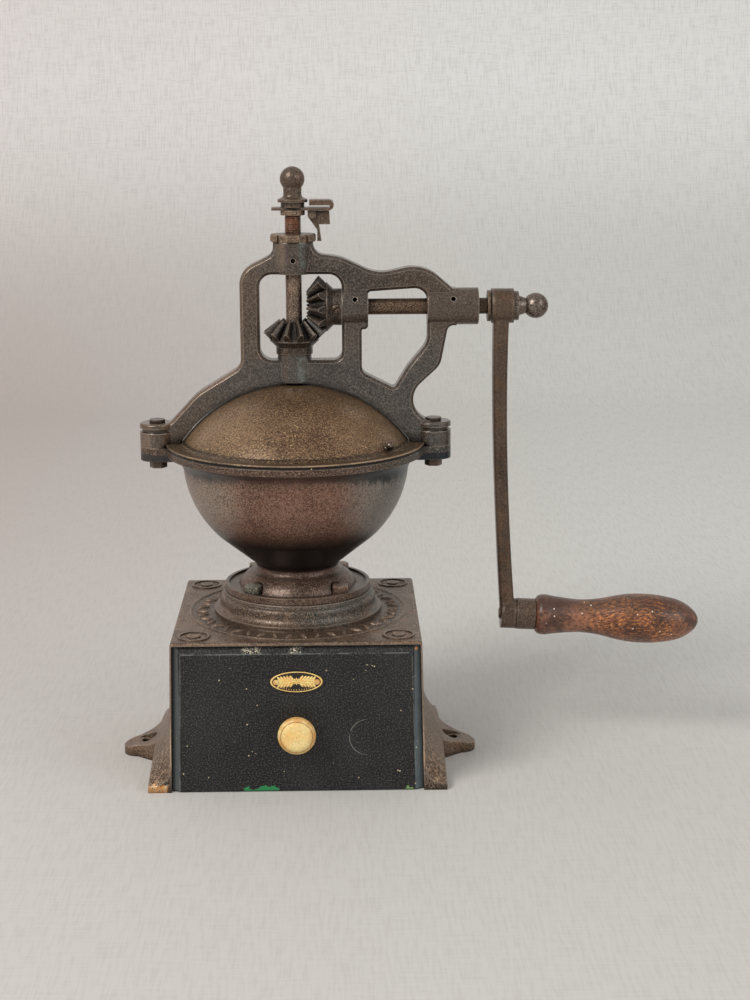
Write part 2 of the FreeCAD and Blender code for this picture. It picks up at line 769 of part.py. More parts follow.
def hopper_bowl():
    """Cast bowl: foot flange with a lip, narrow neck with the burr seat, belly, rim and two ears."""
    body = new_body("hopper_bowl")
    revolve(body, [
        ("burr_bore_radius", FLANGE_BOTTOM),
        ("bowl_flange_radius", FLANGE_BOTTOM),
        ("bowl_flange_radius", level("bowl_flange_thick + bowl_lip_height")),
        ("bowl_flange_radius - bowl_lip_width", level("bowl_flange_thick + bowl_lip_height")),
        ("bowl_flange_radius - bowl_lip_width", level("bowl_flange_thick")),
        ("bowl_foot_radius", level("bowl_flange_thick"), 0.18),
        ("bowl_waist_radius", level("bowl_foot_height"), -0.45),
        ("bowl_neck_radius", level("bowl_neck_height"), -0.2),
        ("bowl_waist_radius", level("bowl_waist_height")),
        ("bowl_belly_radius", level("bowl_belly_height"), 0.18),
        ("bowl_side_radius", level("bowl_side_height"), -0.3),
        ("bowl_rim_radius", level("bowl_height - bowl_rim_thick")),
        ("bowl_rim_radius", RIM_TOP),
        ("bowl_side_radius - bowl_wall", RIM_TOP),
        ("bowl_side_radius - bowl_wall", level("bowl_side_height"), -0.18),
        ("bowl_belly_radius - bowl_belly_inset", level("bowl_belly_height + bowl_belly_lift")),
        ("burr_bore_radius", f"{BURR_TOP} + bowl_wall / 2"),
        ("burr_bore_radius - 2 * bowl_lip_width", f"{BURR_TOP} + bowl_wall / 4"),
        ("burr_bore_radius - 2 * bowl_lip_width", f"{BURR_TOP} + gear_seat_clear"),
        ("burr_bore_radius", f"{BURR_TOP} + gear_seat_clear"),
    ])
    for flip in (list, mirrored):
        extrude(body, "XY_Plane", [flip(ear_plan("ear_radius"))], "bowl_ear_thick",
                shift=f"{RIM_TOP} - bowl_ear_thick")
    for side in ("", "-"):
        cylinder(body, "ear_bolt_radius + running_clear", "bowl_ear_thick * 3",
                 offset=(f"{side}ear_x", None, f"{RIM_TOP} - bowl_ear_thick * 2"), cut=True)
        for along in ("", "-"):
            place = (f"{side}{BOLT_AT}", f"{along}{BOLT_AT}")
            cylinder(body, "bowl_bolt_radius + running_clear", "bowl_flange_thick * 3",
                     offset=(*place, f"{FLANGE_BOTTOM} - bowl_flange_thick"), cut=True)
            cylinder(body, "bowl_head_radius + head_clear", "bowl_head_height * 2",
                     offset=(*place, level("bowl_flange_thick")), cut=True)


def bowl_bolts():
    """Four bolts through the bowl's foot into the plinth."""
    body = new_body("bowl_bolts")
    place = (BOLT_AT, BOLT_AT)
    shank = cylinder(body, "bowl_bolt_radius", "bowl_bolt_length",
                     offset=(*place, level("bowl_flange_thick - bowl_bolt_length")))
    head = extrude(body, "XY_Plane", [hexagon(*place, "bowl_head_radius")], "bowl_head_height",
                   shift=level("bowl_flange_thick"))
    around(body, [shank, head], "4")


def burr_groove(body, top_radius, bottom_radius, top, bottom):
    """One tapering tooth groove along a cone, repeated round the burr."""
    depth = "burr_groove"
    feature = body.newObject("PartDesign::SubtractiveLoft", f"{body.Label}_groove")
    sections = []
    for radius, height in ((bottom_radius, bottom), (top_radius, top)):
        sections.append(sketched(body, "XY_Plane", [[
            (f"{radius} - {depth}", "0"),
            (f"{radius} + {depth}", f"-{depth}"),
            (f"{radius} + {depth}", f"{depth} / 4"),
        ]], height))
    feature.Profile = sections[0]
    feature.Sections = sections[1:]
    feature.Ruled = True
    return feature


def outer_burr():
    """Ring with inside teeth that sits in the bowl's neck on top of the plinth."""
    body = new_body("outer_burr")
    revolve(body, [
        ("burr_ring_bottom_radius", FLANGE_BOTTOM),
        ("burr_bore_radius - running_clear", FLANGE_BOTTOM),
        ("burr_bore_radius - running_clear", BURR_TOP),
        ("burr_ring_top_radius", BURR_TOP),
    ])
    groove = burr_groove(body, "burr_ring_top_radius", "burr_ring_bottom_radius",
                         f"{BURR_TOP} + bowl_wall", f"{FLANGE_BOTTOM} - bowl_wall")
    around(body, [groove], "burr_teeth")


def inner_burr():
    """Toothed cone on the lower end of the vertical shaft."""
    body = new_body("inner_burr")
    revolve(body, [
        ("shaft_radius + seat_clear", CONE_BOTTOM),
        ("burr_cone_bottom_radius", CONE_BOTTOM),
        ("burr_cone_top_radius", f"{CONE_BOTTOM} + burr_height"),
        ("shaft_radius + seat_clear", f"{CONE_BOTTOM} + burr_height"),
    ])
    groove = burr_groove(body, "burr_cone_top_radius + burr_groove / 3", "burr_cone_bottom_radius",
                         f"{CONE_BOTTOM} + burr_height + bowl_wall", f"{CONE_BOTTOM} - bowl_wall")
    around(body, [groove], "burr_teeth")


def burr_nut():
    """Hexagon nut on the shaft under the cone."""
    body = new_body("burr_nut")
    extrude(body, "XY_Plane", [hexagon("0", "0", "burr_nut_radius")], "burr_nut_thick",
            shift=f"{CONE_BOTTOM} - burr_nut_thick")
    cylinder(body, "thread_radius + seat_clear", "burr_nut_thick * 3",
             offset=(None, None, f"{CONE_BOTTOM} - burr_nut_thick * 2"), cut=True)


def dome_profile(radius, foot, eye):
    """Section of a sheet dome about the vertical axis, from its foot to the eye round the shaft."""
    inner = f"({radius} - lid_sheet)"
    outer_rise = f"sqrt({radius} * {radius} - ({eye}) * ({eye}))"
    inner_rise = f"sqrt({inner} * {inner} - ({eye}) * ({eye}))"
    lift = f"({foot} - {LID_CENTRE})"
    outer_foot = f"sqrt({radius} * {radius} - {lift} * {lift})"
    inner_foot = f"sqrt({inner} * {inner} - {lift} * {lift})"
    turn = value(f"asin({lift} / {radius})")
    crown = value(f"acos(({eye}) / {radius})")
    bulge = math.tan(math.radians(crown - turn) / 4)
    inner_turn = value(f"asin({lift} / {inner})")
    inner_crown = value(f"acos(({eye}) / {inner})")
    inner_bulge = math.tan(math.radians(inner_crown - inner_turn) / 4)
    return [
        (inner_foot, foot),
        (outer_foot, foot, bulge),
        (eye, f"{LID_CENTRE} + {outer_rise}"),
        (eye, f"{LID_CENTRE} + {inner_rise}", -inner_bulge),
    ]


LID_EYE = "(shaft_radius + lid_eye_clear)"
REAR_RADIUS = "(lid_radius - lid_sheet - lid_gap)"


def lid_rear():
    """Fixed rear half dome on a flat ring that lies on the bowl's rim round the frame's feet."""
    body = new_body("lid_rear")
    revolve(body, dome_profile(REAR_RADIUS, f"{RING_TOP} - lid_ring_thick / 2", LID_EYE),
            role="YZ_Plane", angle="lid_rear_angle")
    revolve(body, [
        ("lid_ring_inner", RIM_TOP),
        ("bowl_rim_radius", RIM_TOP),
        ("bowl_rim_radius", RING_TOP),
        ("lid_ring_inner", RING_TOP),
    ])
    for side in ("", "-"):
        cylinder(body, "ear_radius + head_clear", "ear_boss_height",
                 offset=(f"{side}ear_x", None, f"{RIM_TOP} - lid_ring_thick"), cut=True)
    half = "(frame_thick / 2 + head_clear)"
    for flip in (list, mirrored):
        extrude(body, "XY_Plane", [flip([
            (f"{LEG_INSIDE} - head_clear", f"-{half}"),
            ("ear_x", f"-{half}"),
            ("ear_x", half),
            (f"{LEG_INSIDE} - head_clear", half),
        ])], "lid_ring_thick * 2", shift=f"{RIM_TOP} - lid_ring_thick / 2", kind="Pocket", backwards=True)


KNOB_DIRECTION = ("cos(lid_knob_elevation) * cos(lid_knob_azimuth)",
                  "cos(lid_knob_elevation) * sin(lid_knob_azimuth)",
                  "sin(lid_knob_elevation)")


def knob_rotation():
    """Turns the vertical axis to the lid knob's direction."""
    return Rotation(Vector(0, 0, 1), Vector(*[value(part) for part in KNOB_DIRECTION]))


def lid_opening():
    """Plan of what is left out behind the front half, outside the eye round the shaft."""
    past = "((lid_front_angle - 180) / 2)"
    eye = (f"lid_eye_radius * cos{past}", f"lid_eye_radius * sin{past}")
    rim = (f"lid_radius * cos{past}", f"lid_radius * sin{past}")
    around_eye = math.tan(math.radians(value(f"180 - 2 * {past}")) / 4)
    return [
        eye,
        rim,
        ("lid_radius", "lid_radius"),
        ("-lid_radius", "lid_radius"),
        (f"-{rim[0]}", rim[1]),
        (f"-{eye[0]}", eye[1], -around_eye),
    ]


def lid_front():
    """Turning front half dome, hung by an eye round the shaft."""
    body = new_body("lid_front")
    foot = f"({RING_TOP} + lid_gap)"
    revolve(body, dome_profile("lid_radius", foot, LID_EYE))
    extrude(body, "XY_Plane", [lid_opening()], "lid_radius", shift=f"{RING_TOP} - lid_ring_thick",
            kind="Pocket", backwards=True)
    cylinder(body, "lid_knob_stem + seat_clear", "lid_sheet * 6",
             offset=tuple(f"{part} * (lid_radius - lid_sheet * 3)" if index < 2
                          else f"{LID_CENTRE} + {part} * (lid_radius - lid_sheet * 3)"
                          for index, part in enumerate(KNOB_DIRECTION)),
             cut=True, rotation=knob_rotation())


def lid_knob():
    """Small turned knob riveted to the front half of the lid."""
    body = turned("lid_knob", [
        ("0", "-lid_sheet"),
        ("lid_knob_stem", "-lid_sheet"),
        ("lid_knob_stem", "0"),
        ("lid_knob_foot_radius", "0"),
        ("lid_knob_stem", "lid_knob_stand / 3"),
        *ball_top("lid_knob_radius", "lid_knob_stand", 60),
    ])
    x, y, z = [f"({part}) * (lid_radius + lid_gap / 4)" for part in KNOB_DIRECTION]
    seat(body, x, y, f"{LID_CENTRE} + {z}", knob_rotation())


def frame_outline():
    """Outside of the frame casting in its own plane, from the right foot round to the arch."""
    head = "(outer_bearing_start + frame_thick * 1.3)"
    arch = math.tan(math.asin(value(ARCH_FOOT) / value(ARCH_RADIUS)) / 2)
    return [
        (ARCH_FOOT, RIM_TOP),
        ("ear_x", RIM_TOP),
        ("ear_x", EAR_TOP),
        ("leg_aim_x", EAR_TOP, "leg_round"),
        ("leg_knee_x", f"{AXIS} - leg_knee_drop", "leg_knee_round"),
        ("leg_head_x", f"{AXIS} - crank_boss_radius", "frame_small_round"),
        (head, f"{AXIS} - crank_boss_radius"),
        (head, f"{AXIS} + crank_boss_radius"),
        ("hump_foot_x", f"{AXIS} + crank_boss_radius", "frame_small_round / 2"),
        ("hump_x", f"{AXIS} + hump_rise", "hump_round"),
        ("dip_x", f"{AXIS} + dip_rise", "dip_round"),
        ("brow_x", f"{AXIS} + brow_rise", "brow_round"),
        ("hub_radius", f"{HUB_TOP} - hub_root_drop", "hub_root_round"),
        ("hub_radius", HUB_TOP),
        ("-hub_radius", HUB_TOP),
        ("-hub_radius", f"{HUB_TOP} - hub_root_drop", "hub_root_round"),
        ("-frame_left", f"{AXIS} + shoulder_rise", "shoulder_round"),
        ("-frame_left", f"{AXIS} - left_knee_drop", "left_knee_round"),
        ("-left_bend_x", f"{AXIS} - left_bend_drop", "left_bend_round"),
        ("-left_foot_x", EAR_TOP, "left_foot_round"),
        ("-ear_x", EAR_TOP),
        ("-ear_x", RIM_TOP),
        (f"-{ARCH_FOOT}", RIM_TOP, -arch),
    ]


def gear_window():
    """Left window, round the bevel gears."""
    left = "-frame_left + post_width"
    top = f"({AXIS} + window_above_axis)"
    return [
        (left, SILL, "window_left_round"),
        ("window_right", SILL, "window_low_round"),
        ("window_right", top, "window_top_round"),
        (left, top, "window_top_round"),
    ]


def crank_window():
    """Right window, between the two crank bearings."""
    bearing = "(window_right + inner_bearing_length)"
    post = "(window_right + mid_post_width)"
    return [
        ("window_tip_x", f"{AXIS} - window_tip_drop", "window_tip_round"),
        ("window_bend_x", f"{AXIS} - window_bend_drop", "leg_round"),
        ("outer_bearing_start", f"{AXIS} - window_cheek_drop", "leg_knee_round"),
        ("outer_bearing_start", f"{AXIS} + window_right_rise", "window_top_round"),
        (bearing, f"{AXIS} + window_left_rise", "window_tip_round"),
        (bearing, f"{AXIS} - window_step_drop", "window_step_round"),
        (post, f"{AXIS} - window_step_drop", "window_step_round / 2"),
        (post, f"{AXIS} - window_low_drop", "window_low_round"),
    ]


def bridge_frame():
    """Arched casting with two windows, two shaft hubs, two crank bearings and two feet."""
    body = new_body("bridge_frame")
    extrude(body, "XZ_Plane", [frame_outline(), gear_window(), crank_window()], "frame_thick", both_ways=True)
    face = value("frame_thick / 2")
    foot = value(EAR_TOP)
    top = value(HUB_TOP)
    dress(body, "Chamfer", "frame_chamfer", lambda box: near(box.YMin, box.YMax)
          and near(abs(box.YMin), face) and box.ZMin > foot - 0.1 and foot + 0.1 < box.ZMax < top - 0.1)
    hub_low = f"({AXIS} + window_above_axis)"
    revolve(body, [
        ("0", hub_low),
        ("hub_low_radius", hub_low),
        ("hub_radius", f"{HUB_TOP} - nut_thick"),
        ("hub_radius", HUB_TOP),
        ("0", HUB_TOP),
    ])
    cylinder(body, "hub_low_radius", f"{SILL} + hub_low_rise - {ARCH_TOP}", offset=(None, None, ARCH_TOP))
    cylinder(body, "crank_boss_radius", "inner_bearing_length", "YZ_Plane", (None, AXIS, "window_right"))
    cylinder(body, "crank_boss_radius", "outer_bearing_end - outer_bearing_start", "YZ_Plane",
             (None, AXIS, "outer_bearing_start"))
    for side in ("", "-"):
        for radius, height, low in (
            ("ear_radius", "ear_drum_height", RIM_TOP),
            ("ear_waist_radius", "ear_boss_height", RIM_TOP),
            ("ear_radius", "ear_disc_thick", f"{EAR_TOP} - ear_disc_thick"),
        ):
            cylinder(body, radius, height, offset=(f"{side}ear_x", None, low))
    ear_reach = value("ear_x")
    rim = value(RIM_TOP)
    dress(body, "Fillet", "ear_boss_round", lambda box: box.ZMin > rim + 1 and near(box.ZMin, box.ZMax)
          and near(box.ZMax, value(EAR_TOP)) and max(abs(box.XMin), abs(box.XMax)) > ear_reach + 2)
    for side in ("", "-"):
        cylinder(body, "ear_bolt_radius + running_clear", "ear_boss_height * 2",
                 offset=(f"{side}ear_x", None, f"{RIM_TOP} - ear_boss_height / 2"), cut=True)
        cylinder(body, "ear_head_radius + head_clear", "ear_boss_height",
                 offset=(f"{side}ear_x", None, EAR_TOP), cut=True)
    bore = "shaft_radius + running_clear"
    cylinder(body, bore, f"{HUB_TOP} - {ARCH_TOP} + frame_thick",
             offset=(None, None, f"{ARCH_TOP} - frame_thick / 2"), cut=True)
    cylinder(body, bore, "outer_bearing_end", "YZ_Plane", (None, AXIS, "window_right - frame_thick / 2"),
             cut=True)
    cylinder(body, "oil_hole_radius", "hub_radius * 2", "XZ_Plane",
             (None, f"{AXIS} + oil_hole_rise", "shaft_radius / 2"), cut=True)
    slope = Rotation(Vector(1, 0, 0), -value("atan(oil_hole_height / crank_boss_radius)"))
    for place in ("window_right + inner_bearing_length / 2", "(outer_bearing_start + outer_bearing_end) / 2"):
        cylinder(body, "oil_hole_radius", "crank_boss_radius * 2", "XZ_Plane", (place, AXIS, None),
                 cut=True, rotation=slope)


def ear_bolts():
    """Two bolts that hold the frame's feet to the bowl's ears."""
    body = new_body("ear_bolts")
    reach = "(ear_boss_height + bowl_ear_thick + ear_nut_thick)"
    for side in ("", "-"):
        cylinder(body, "ear_bolt_radius", reach, offset=(f"{side}ear_x", None, f"{EAR_TOP} - {reach}"))
        cylinder(body, "ear_head_radius", "ear_head_height", offset=(f"{side}ear_x", None, EAR_TOP))


def ear_nuts():
    """Hexagon nuts under the bowl's ears."""
    body = new_body("ear_nuts")
    for side in ("", "-"):
        extrude(body, "XY_Plane", [hexagon(f"{side}ear_x", "0", "ear_nut_radius")], "ear_nut_thick",
                shift=f"{RIM_TOP} - bowl_ear_thick - ear_nut_thick")
        cylinder(body, "ear_bolt_radius + seat_clear", "ear_nut_thick * 3",
                 offset=(f"{side}ear_x", None, f"{RIM_TOP} - bowl_ear_thick - ear_nut_thick * 2"), cut=True)


def tooth_flank(radius, pitch, base_circle, half_angle):
    """Point on the right flank of an involute tooth about the virtual gear's centre."""
    slip = math.acos(min(base_circle / radius, 1.0))
    spread = half_angle - (math.tan(slip) - slip)
    return Vector(radius * math.sin(spread), radius * math.cos(spread) - pitch, 0)


def tooth_section(body, share):
    """Tooth section square to the pitch cone, at a share of the cone distance from the apex."""
    module = value("gear_module")
    pitch = value(f"{PITCH_RADIUS} * sqrt(2)")
    pressure = math.radians(value("gear_pressure_angle"))
    base_circle = pitch * math.cos(pressure)
    half_angle = (math.pi * module / 2 - value("gear_backlash")) / (2 * pitch)
    half_angle += math.tan(pressure) - pressure
    root = pitch - 1.5 * module
    right = [tooth_flank(radius, pitch, base_circle, half_angle) * share
             for radius in (root, base_circle, pitch + module * 0.3, pitch + module)]
    left = [Vector(-point.x, point.y, 0) for point in right]
    sketch = body.newObject("Sketcher::SketchObject", f"{body.Label}_tooth")
    frame = Rotation(Vector(0, 1, 0), Vector(1, 0, 1), Vector(1, 0, -1), "ZXY")
    distance = f"{PITCH_RADIUS} * {share}"
    attach(sketch, body, "XY_Plane", (distance, None, f"-{distance}"), frame)
    sketch.addGeometry([
        Part.LineSegment(left[0], right[0]),
        Part.LineSegment(right[0], right[1]),
        Part.Arc(right[1], right[2], right[3]),
        Part.LineSegment(right[3], left[3]),
        Part.Arc(left[3], left[2], left[1]),
        Part.LineSegment(left[1], left[0]),
    ], False)
    return sketch


def bevel_gear(label, hub_end):
    """Mitre gear with its apex at the origin, opening downwards, and its hub below."""
    body = new_body(label)
    bore = "shaft_radius + running_clear"
    dedendum = "(1.2 * gear_module * cos(45))"
    root_radius = f"(({PITCH_RADIUS} - {dedendum}) * (1 + gear_overhang))"
    root_height = f"(-({PITCH_RADIUS} + {dedendum}) * (1 + gear_overhang))"
    inner = "(1 - gear_face_share)"
    blank_inner = f"({inner} * (1 - gear_overhang))"
    revolve(body, [
        (bore, hub_end),
        ("gear_hub_radius", hub_end),
        ("gear_hub_radius", f"{root_height} - {root_radius} + gear_hub_radius"),
        (root_radius, root_height),
        (f"{root_radius} * {blank_inner}", f"{root_height} * {blank_inner}"),
        (bore, f"{root_height} * {blank_inner} - gear_module / 2"),
    ])
    tooth = body.newObject("PartDesign::AdditiveLoft", f"{label}_tooth_loft")
    tooth.Profile = tooth_section(body, 1.0)
    tooth.Sections = [tooth_section(body, value(inner))]
    tooth.Ruled = True
    around(body, [tooth], "gear_teeth")
    return body


GEAR_HUB_LOW = "(-window_below_axis + hub_low_rise + gear_seat_clear)"
KEY_TOP = f"(-{PITCH_RADIUS} * (1 - gear_face_share) - gear_module * 2)"


def drive_gear():
    """Upper bevel gear on the crank shaft, with a tapped hole for its screw."""
    body = bevel_gear("drive_gear", "-window_right + gear_seat_clear")
    cylinder(body, "gear_screw_radius + seat_clear", "gear_hub_radius * 1.2", "XZ_Plane",
             (None, SCREW_AT, "shaft_radius / 2"), cut=True)
    seat(body, z=AXIS, rotation=Rotation(Vector(0, 1, 0), -90))


SCREW_AT = "(-window_right + gear_hub_radius / 3)"


def gear_screw():
    """Screw through the gear's hub on to the crank shaft."""
    body = new_body("gear_screw")
    cylinder(body, "gear_screw_radius", "gear_hub_radius + gear_screw_stand - shaft_radius - running_clear",
             "XZ_Plane", (f"-({SCREW_AT})", AXIS, "shaft_radius + running_clear"))


def driven_gear():
    """Lower bevel gear, held up by the frame's lower hub, with a keyway for the sliding shaft."""
    body = bevel_gear("driven_gear", GEAR_HUB_LOW)
    extrude(body, "XY_Plane", [key_plan("seat_clear")], "window_below_axis * 2",
            shift="-window_below_axis * 1.5", kind="Pocket", backwards=True)
    half_pitch = Rotation(Vector(0, 0, 1), value("180 / gear_teeth"))
    seat(body, z=AXIS, rotation=half_pitch)


def key_plan(clear):
    """Plan of the feather key, in the gear's own axes, grown by a clearance."""
    turn = "(key_azimuth - 180 / gear_teeth)"
    half = f"(key_width / 2 + {clear})"
    inner = f"(shaft_radius - key_depth - {clear})"
    outer = f"(shaft_radius + key_depth + {clear})"
    corners = [(inner, f"-{half}"), (outer, f"-{half}"), (outer, half), (inner, half)]
    return [(f"{along} * cos({turn}) - ({across}) * sin({turn})",
             f"{along} * sin({turn}) + ({across}) * cos({turn})") for along, across in corners]


def gear_key():
    """Feather key that turns the shaft and lets it slide."""
    body = new_body("gear_key")
    extrude(body, "XY_Plane", [key_plan("0")], f"{KEY_TOP} - {GEAR_HUB_LOW}", shift=GEAR_HUB_LOW)
    seat(body, z=AXIS, rotation=Rotation(Vector(0, 0, 1), value("180 / gear_teeth")))


def vertical_shaft():
    """Long shaft from the burr up through the gear to the finial, with thread, spigot and keyway."""
    body = new_body("vertical_shaft")
    nut_end = f"({CONE_BOTTOM} - burr_nut_thick * 1.3)"
    revolve(body, [
        ("0", nut_end),
        ("thread_radius", nut_end),
        ("thread_radius", CONE_BOTTOM),
        ("shaft_radius", CONE_BOTTOM),
        ("shaft_radius", f"{HUB_TOP} - grind_travel"),
        ("thread_radius", f"{HUB_TOP} - grind_travel"),
        ("thread_radius", COLLAR_BOTTOM),
        ("spigot_radius", COLLAR_BOTTOM),
        ("spigot_radius", f"{STRIP_TOP} + spigot_length"),
        ("0", f"{STRIP_TOP} + spigot_length"),
    ])
    groove = key_plan("pawl_side_clear")
    turn = "(180 / gear_teeth)"
    slot = [(f"({x}) * cos({turn}) - ({y}) * sin({turn})", f"({x}) * sin({turn}) + ({y}) * cos({turn})")
            for x, y in groove]
    low = f"({AXIS} + {GEAR_HUB_LOW} - grind_travel * 2)"
    high = f"({AXIS} + {KEY_TOP} + keyway_above_gear)"
    extrude(body, "XY_Plane", [slot], f"{high} - {low}", shift=low, kind="Pocket", backwards=True)


def nut_notch():
    """One notch in the rim of the adjusting nut."""
    half = "nut_notch_width / 2"
    return [
        ("nut_radius - nut_notch_depth", f"-{half}"),
        ("nut_radius + nut_notch_depth", f"-{half}"),
        ("nut_radius + nut_notch_depth", half),
        ("nut_radius - nut_notch_depth", half),
    ]


def adjusting_nut():
    """Notched round nut on the frame's top hub that carries the shaft by its thread."""
    low = f"({HUB_TOP} + gear_seat_clear)"
    body = turned("adjusting_nut", [
        ("thread_radius + running_clear", low),
        ("nut_radius - nut_bevel", low),
        ("nut_radius", f"{low} + nut_bevel"),
        ("nut_radius", f"{NUT_TOP} - nut_bevel"),
        ("nut_radius - nut_bevel", NUT_TOP),
        ("thread_radius + running_clear", NUT_TOP),
    ])
    notch = extrude(body, "XY_Plane", [nut_notch()], "nut_thick * 3", shift=f"{NUT_TOP} - nut_thick * 2",
                    kind="Pocket", backwards=True)
    around(body, [notch], "nut_notches")


def clamp_collar():
    """Round collar on the shaft's shoulder, under the pawl strip."""
    turned("clamp_collar", [
        ("spigot_radius + seat_clear", COLLAR_BOTTOM),
        ("collar_radius", COLLAR_BOTTOM),
        ("collar_radius", STRIP_BOTTOM),
        ("spigot_radius + seat_clear", STRIP_BOTTOM),
    ])


PIVOT_Z = f"({STRIP_BOTTOM} - pawl_pivot_drop)"
PAWL_HALF = "(pawl_thick / 2)"


def pawl_strip():
    """Spring strip clamped under the finial, rolled back on itself, with two ears for the pawl's pin."""
    body = new_body("pawl_strip")
    top = f"({STRIP_BOTTOM} + strip_roll_height)"
    extrude(body, "XZ_Plane", [[
        ("-strip_left", STRIP_BOTTOM),
        ("strip_right", STRIP_BOTTOM, HALF),
        ("strip_right", top),
        ("strip_return", top),
        ("strip_return", f"{top} - strip_band"),
        ("strip_right", f"{top} - strip_band", -HALF),
        ("strip_right", STRIP_TOP),
        ("-strip_left", STRIP_TOP),
    ]], "strip_width", both_ways=True)
    for side in (1, -1):
        inner = f"({PAWL_HALF} + pawl_side_clear)"
        extrude(body, "XZ_Plane", [[
            ("pawl_pivot_x - pawl_ear_half", STRIP_TOP),
            ("pawl_pivot_x - pawl_ear_half", PIVOT_Z, HALF),
            ("pawl_pivot_x + pawl_ear_half", PIVOT_Z),
            ("pawl_pivot_x + pawl_ear_half", STRIP_TOP),
        ]], "pawl_ear_thick", shift=f"{inner}" if side > 0 else f"-{inner} - pawl_ear_thick")
    cylinder(body, "spigot_radius + seat_clear", "strip_thick * 3",
             offset=(None, None, f"{STRIP_BOTTOM} - strip_thick"), cut=True)
    cylinder(body, "pawl_pin_radius + seat_clear", "strip_width * 2", "XZ_Plane",
             ("pawl_pivot_x", PIVOT_Z, "-strip_width"), cut=True)


def pawl_pin():
    """Pin through the strip's ears."""
    body = new_body("pawl_pin")
    half = f"({PAWL_HALF} + pawl_side_clear + pawl_ear_thick)"
    cylinder(body, "pawl_pin_radius", f"{half} * 2", "XZ_Plane", ("pawl_pivot_x", PIVOT_Z, f"-{half}"))


def pawl():
    """Bell-crank pawl: thumb tab under the strip and a leg that drops into a notch of the nut."""
    body = new_body("pawl")
    top = f"({STRIP_BOTTOM} - pawl_top_clear)"
    tab_low = f"({top} - pawl_tab_height)"
    tip = f"({NUT_TOP} - nut_thick + gear_seat_clear * 3)"
    leg = "(nut_radius + pawl_rim_clear)"
    extrude(body, "XZ_Plane", [[
        ("pawl_pivot_x - pawl_ear_half", top),
        ("pawl_pivot_x - pawl_ear_half", f"{PIVOT_Z} - pawl_ear_half / 2"),
        (leg, f"{NUT_TOP} + pawl_ear_half"),
        (leg, tip),
        (f"{leg} + pawl_leg_width", tip),
        ("pawl_pivot_x + pawl_leg_top", tab_low),
        ("pawl_pivot_x + pawl_tab_reach", tab_low),
        ("pawl_pivot_x + pawl_tab_reach - pawl_top_clear", top),
    ]], "pawl_thick", both_ways=True)
    cylinder(body, "pawl_pin_radius + running_clear", "pawl_thick * 2", "XZ_Plane",
             ("pawl_pivot_x", PIVOT_Z, "-pawl_thick"), cut=True)


def finial_knob():
    """Ball finial with flange and collar, screwed on the shaft's spigot."""
    collar = f"({STRIP_TOP} + finial_collar_thick)"
    flange = f"({collar} + finial_flange_thick)"
    ball = f"({STRIP_TOP} + finial_ball_rise)"
    turned("finial_knob", [
        ("spigot_radius + seat_clear", STRIP_TOP),
        ("finial_collar_radius", STRIP_TOP),
        ("finial_collar_radius", collar),
        ("finial_flange_radius", collar),
        ("finial_flange_radius", f"{flange} - finial_flange_thick / 3"),
        ("finial_neck_radius + finial_flange_thick / 2", flange, -0.3),
        ("finial_neck_radius", f"{flange} + finial_flange_thick"),
        *ball_top("finial_ball_radius", ball, 42),
        ("0", f"{STRIP_TOP} + spigot_length + seat_clear"),
        ("spigot_radius + seat_clear", f"{STRIP_TOP} + spigot_length + seat_clear"),
    ])


EYE_END = "(eye_start + eye_length)"


def crank_shaft():
    """Cross shaft from the drive gear through both bearings to the crank arm."""
    body = turned("crank_shaft", [
        ("crank_shaft_start", "0"),
        ("crank_shaft_start", "shaft_radius"),
        ("eye_start", "shaft_radius"),
        ("eye_start", "eye_bore_radius"),
        (f"{EYE_END} + thread_length", "eye_bore_radius"),
        (f"{EYE_END} + thread_length", "0"),
    ], "H_Axis")
    seat(body, z=AXIS)


def crank_washer():
    """Loose washer on the cross shaft."""
    start = "(outer_bearing_end + washer_gap)"
    body = turned("crank_washer", [
        (start, "shaft_radius + seat_clear"),
        (start, "washer_radius"),
        (f"{start} + washer_thick", "washer_radius"),
        (f"{start} + washer_thick", "shaft_radius + seat_clear"),
    ], "H_Axis")
    seat(body, z=AXIS)


def arm_section(body, height, centre, width, depth):
    """Section of the crank arm at a height, a rectangle with round corners."""
    left = f"({centre} - ({width}) / 2)"
    right = f"({centre} + ({width}) / 2)"
    half = f"(({depth}) / 2)"
    return sketched(body, "XY_Plane", [[
        (f"{left} + arm_corner", f"-{half}"),
        (f"{right} - arm_corner", f"-{half}", QUARTER),
        (right, f"-{half} + arm_corner"),
        (right, f"{half} - arm_corner", QUARTER),
        (f"{right} - arm_corner", half),
        (f"{left} + arm_corner", half, QUARTER),
        (left, f"{half} - arm_corner"),
        (left, f"-{half} + arm_corner", QUARTER),
    ]], height)


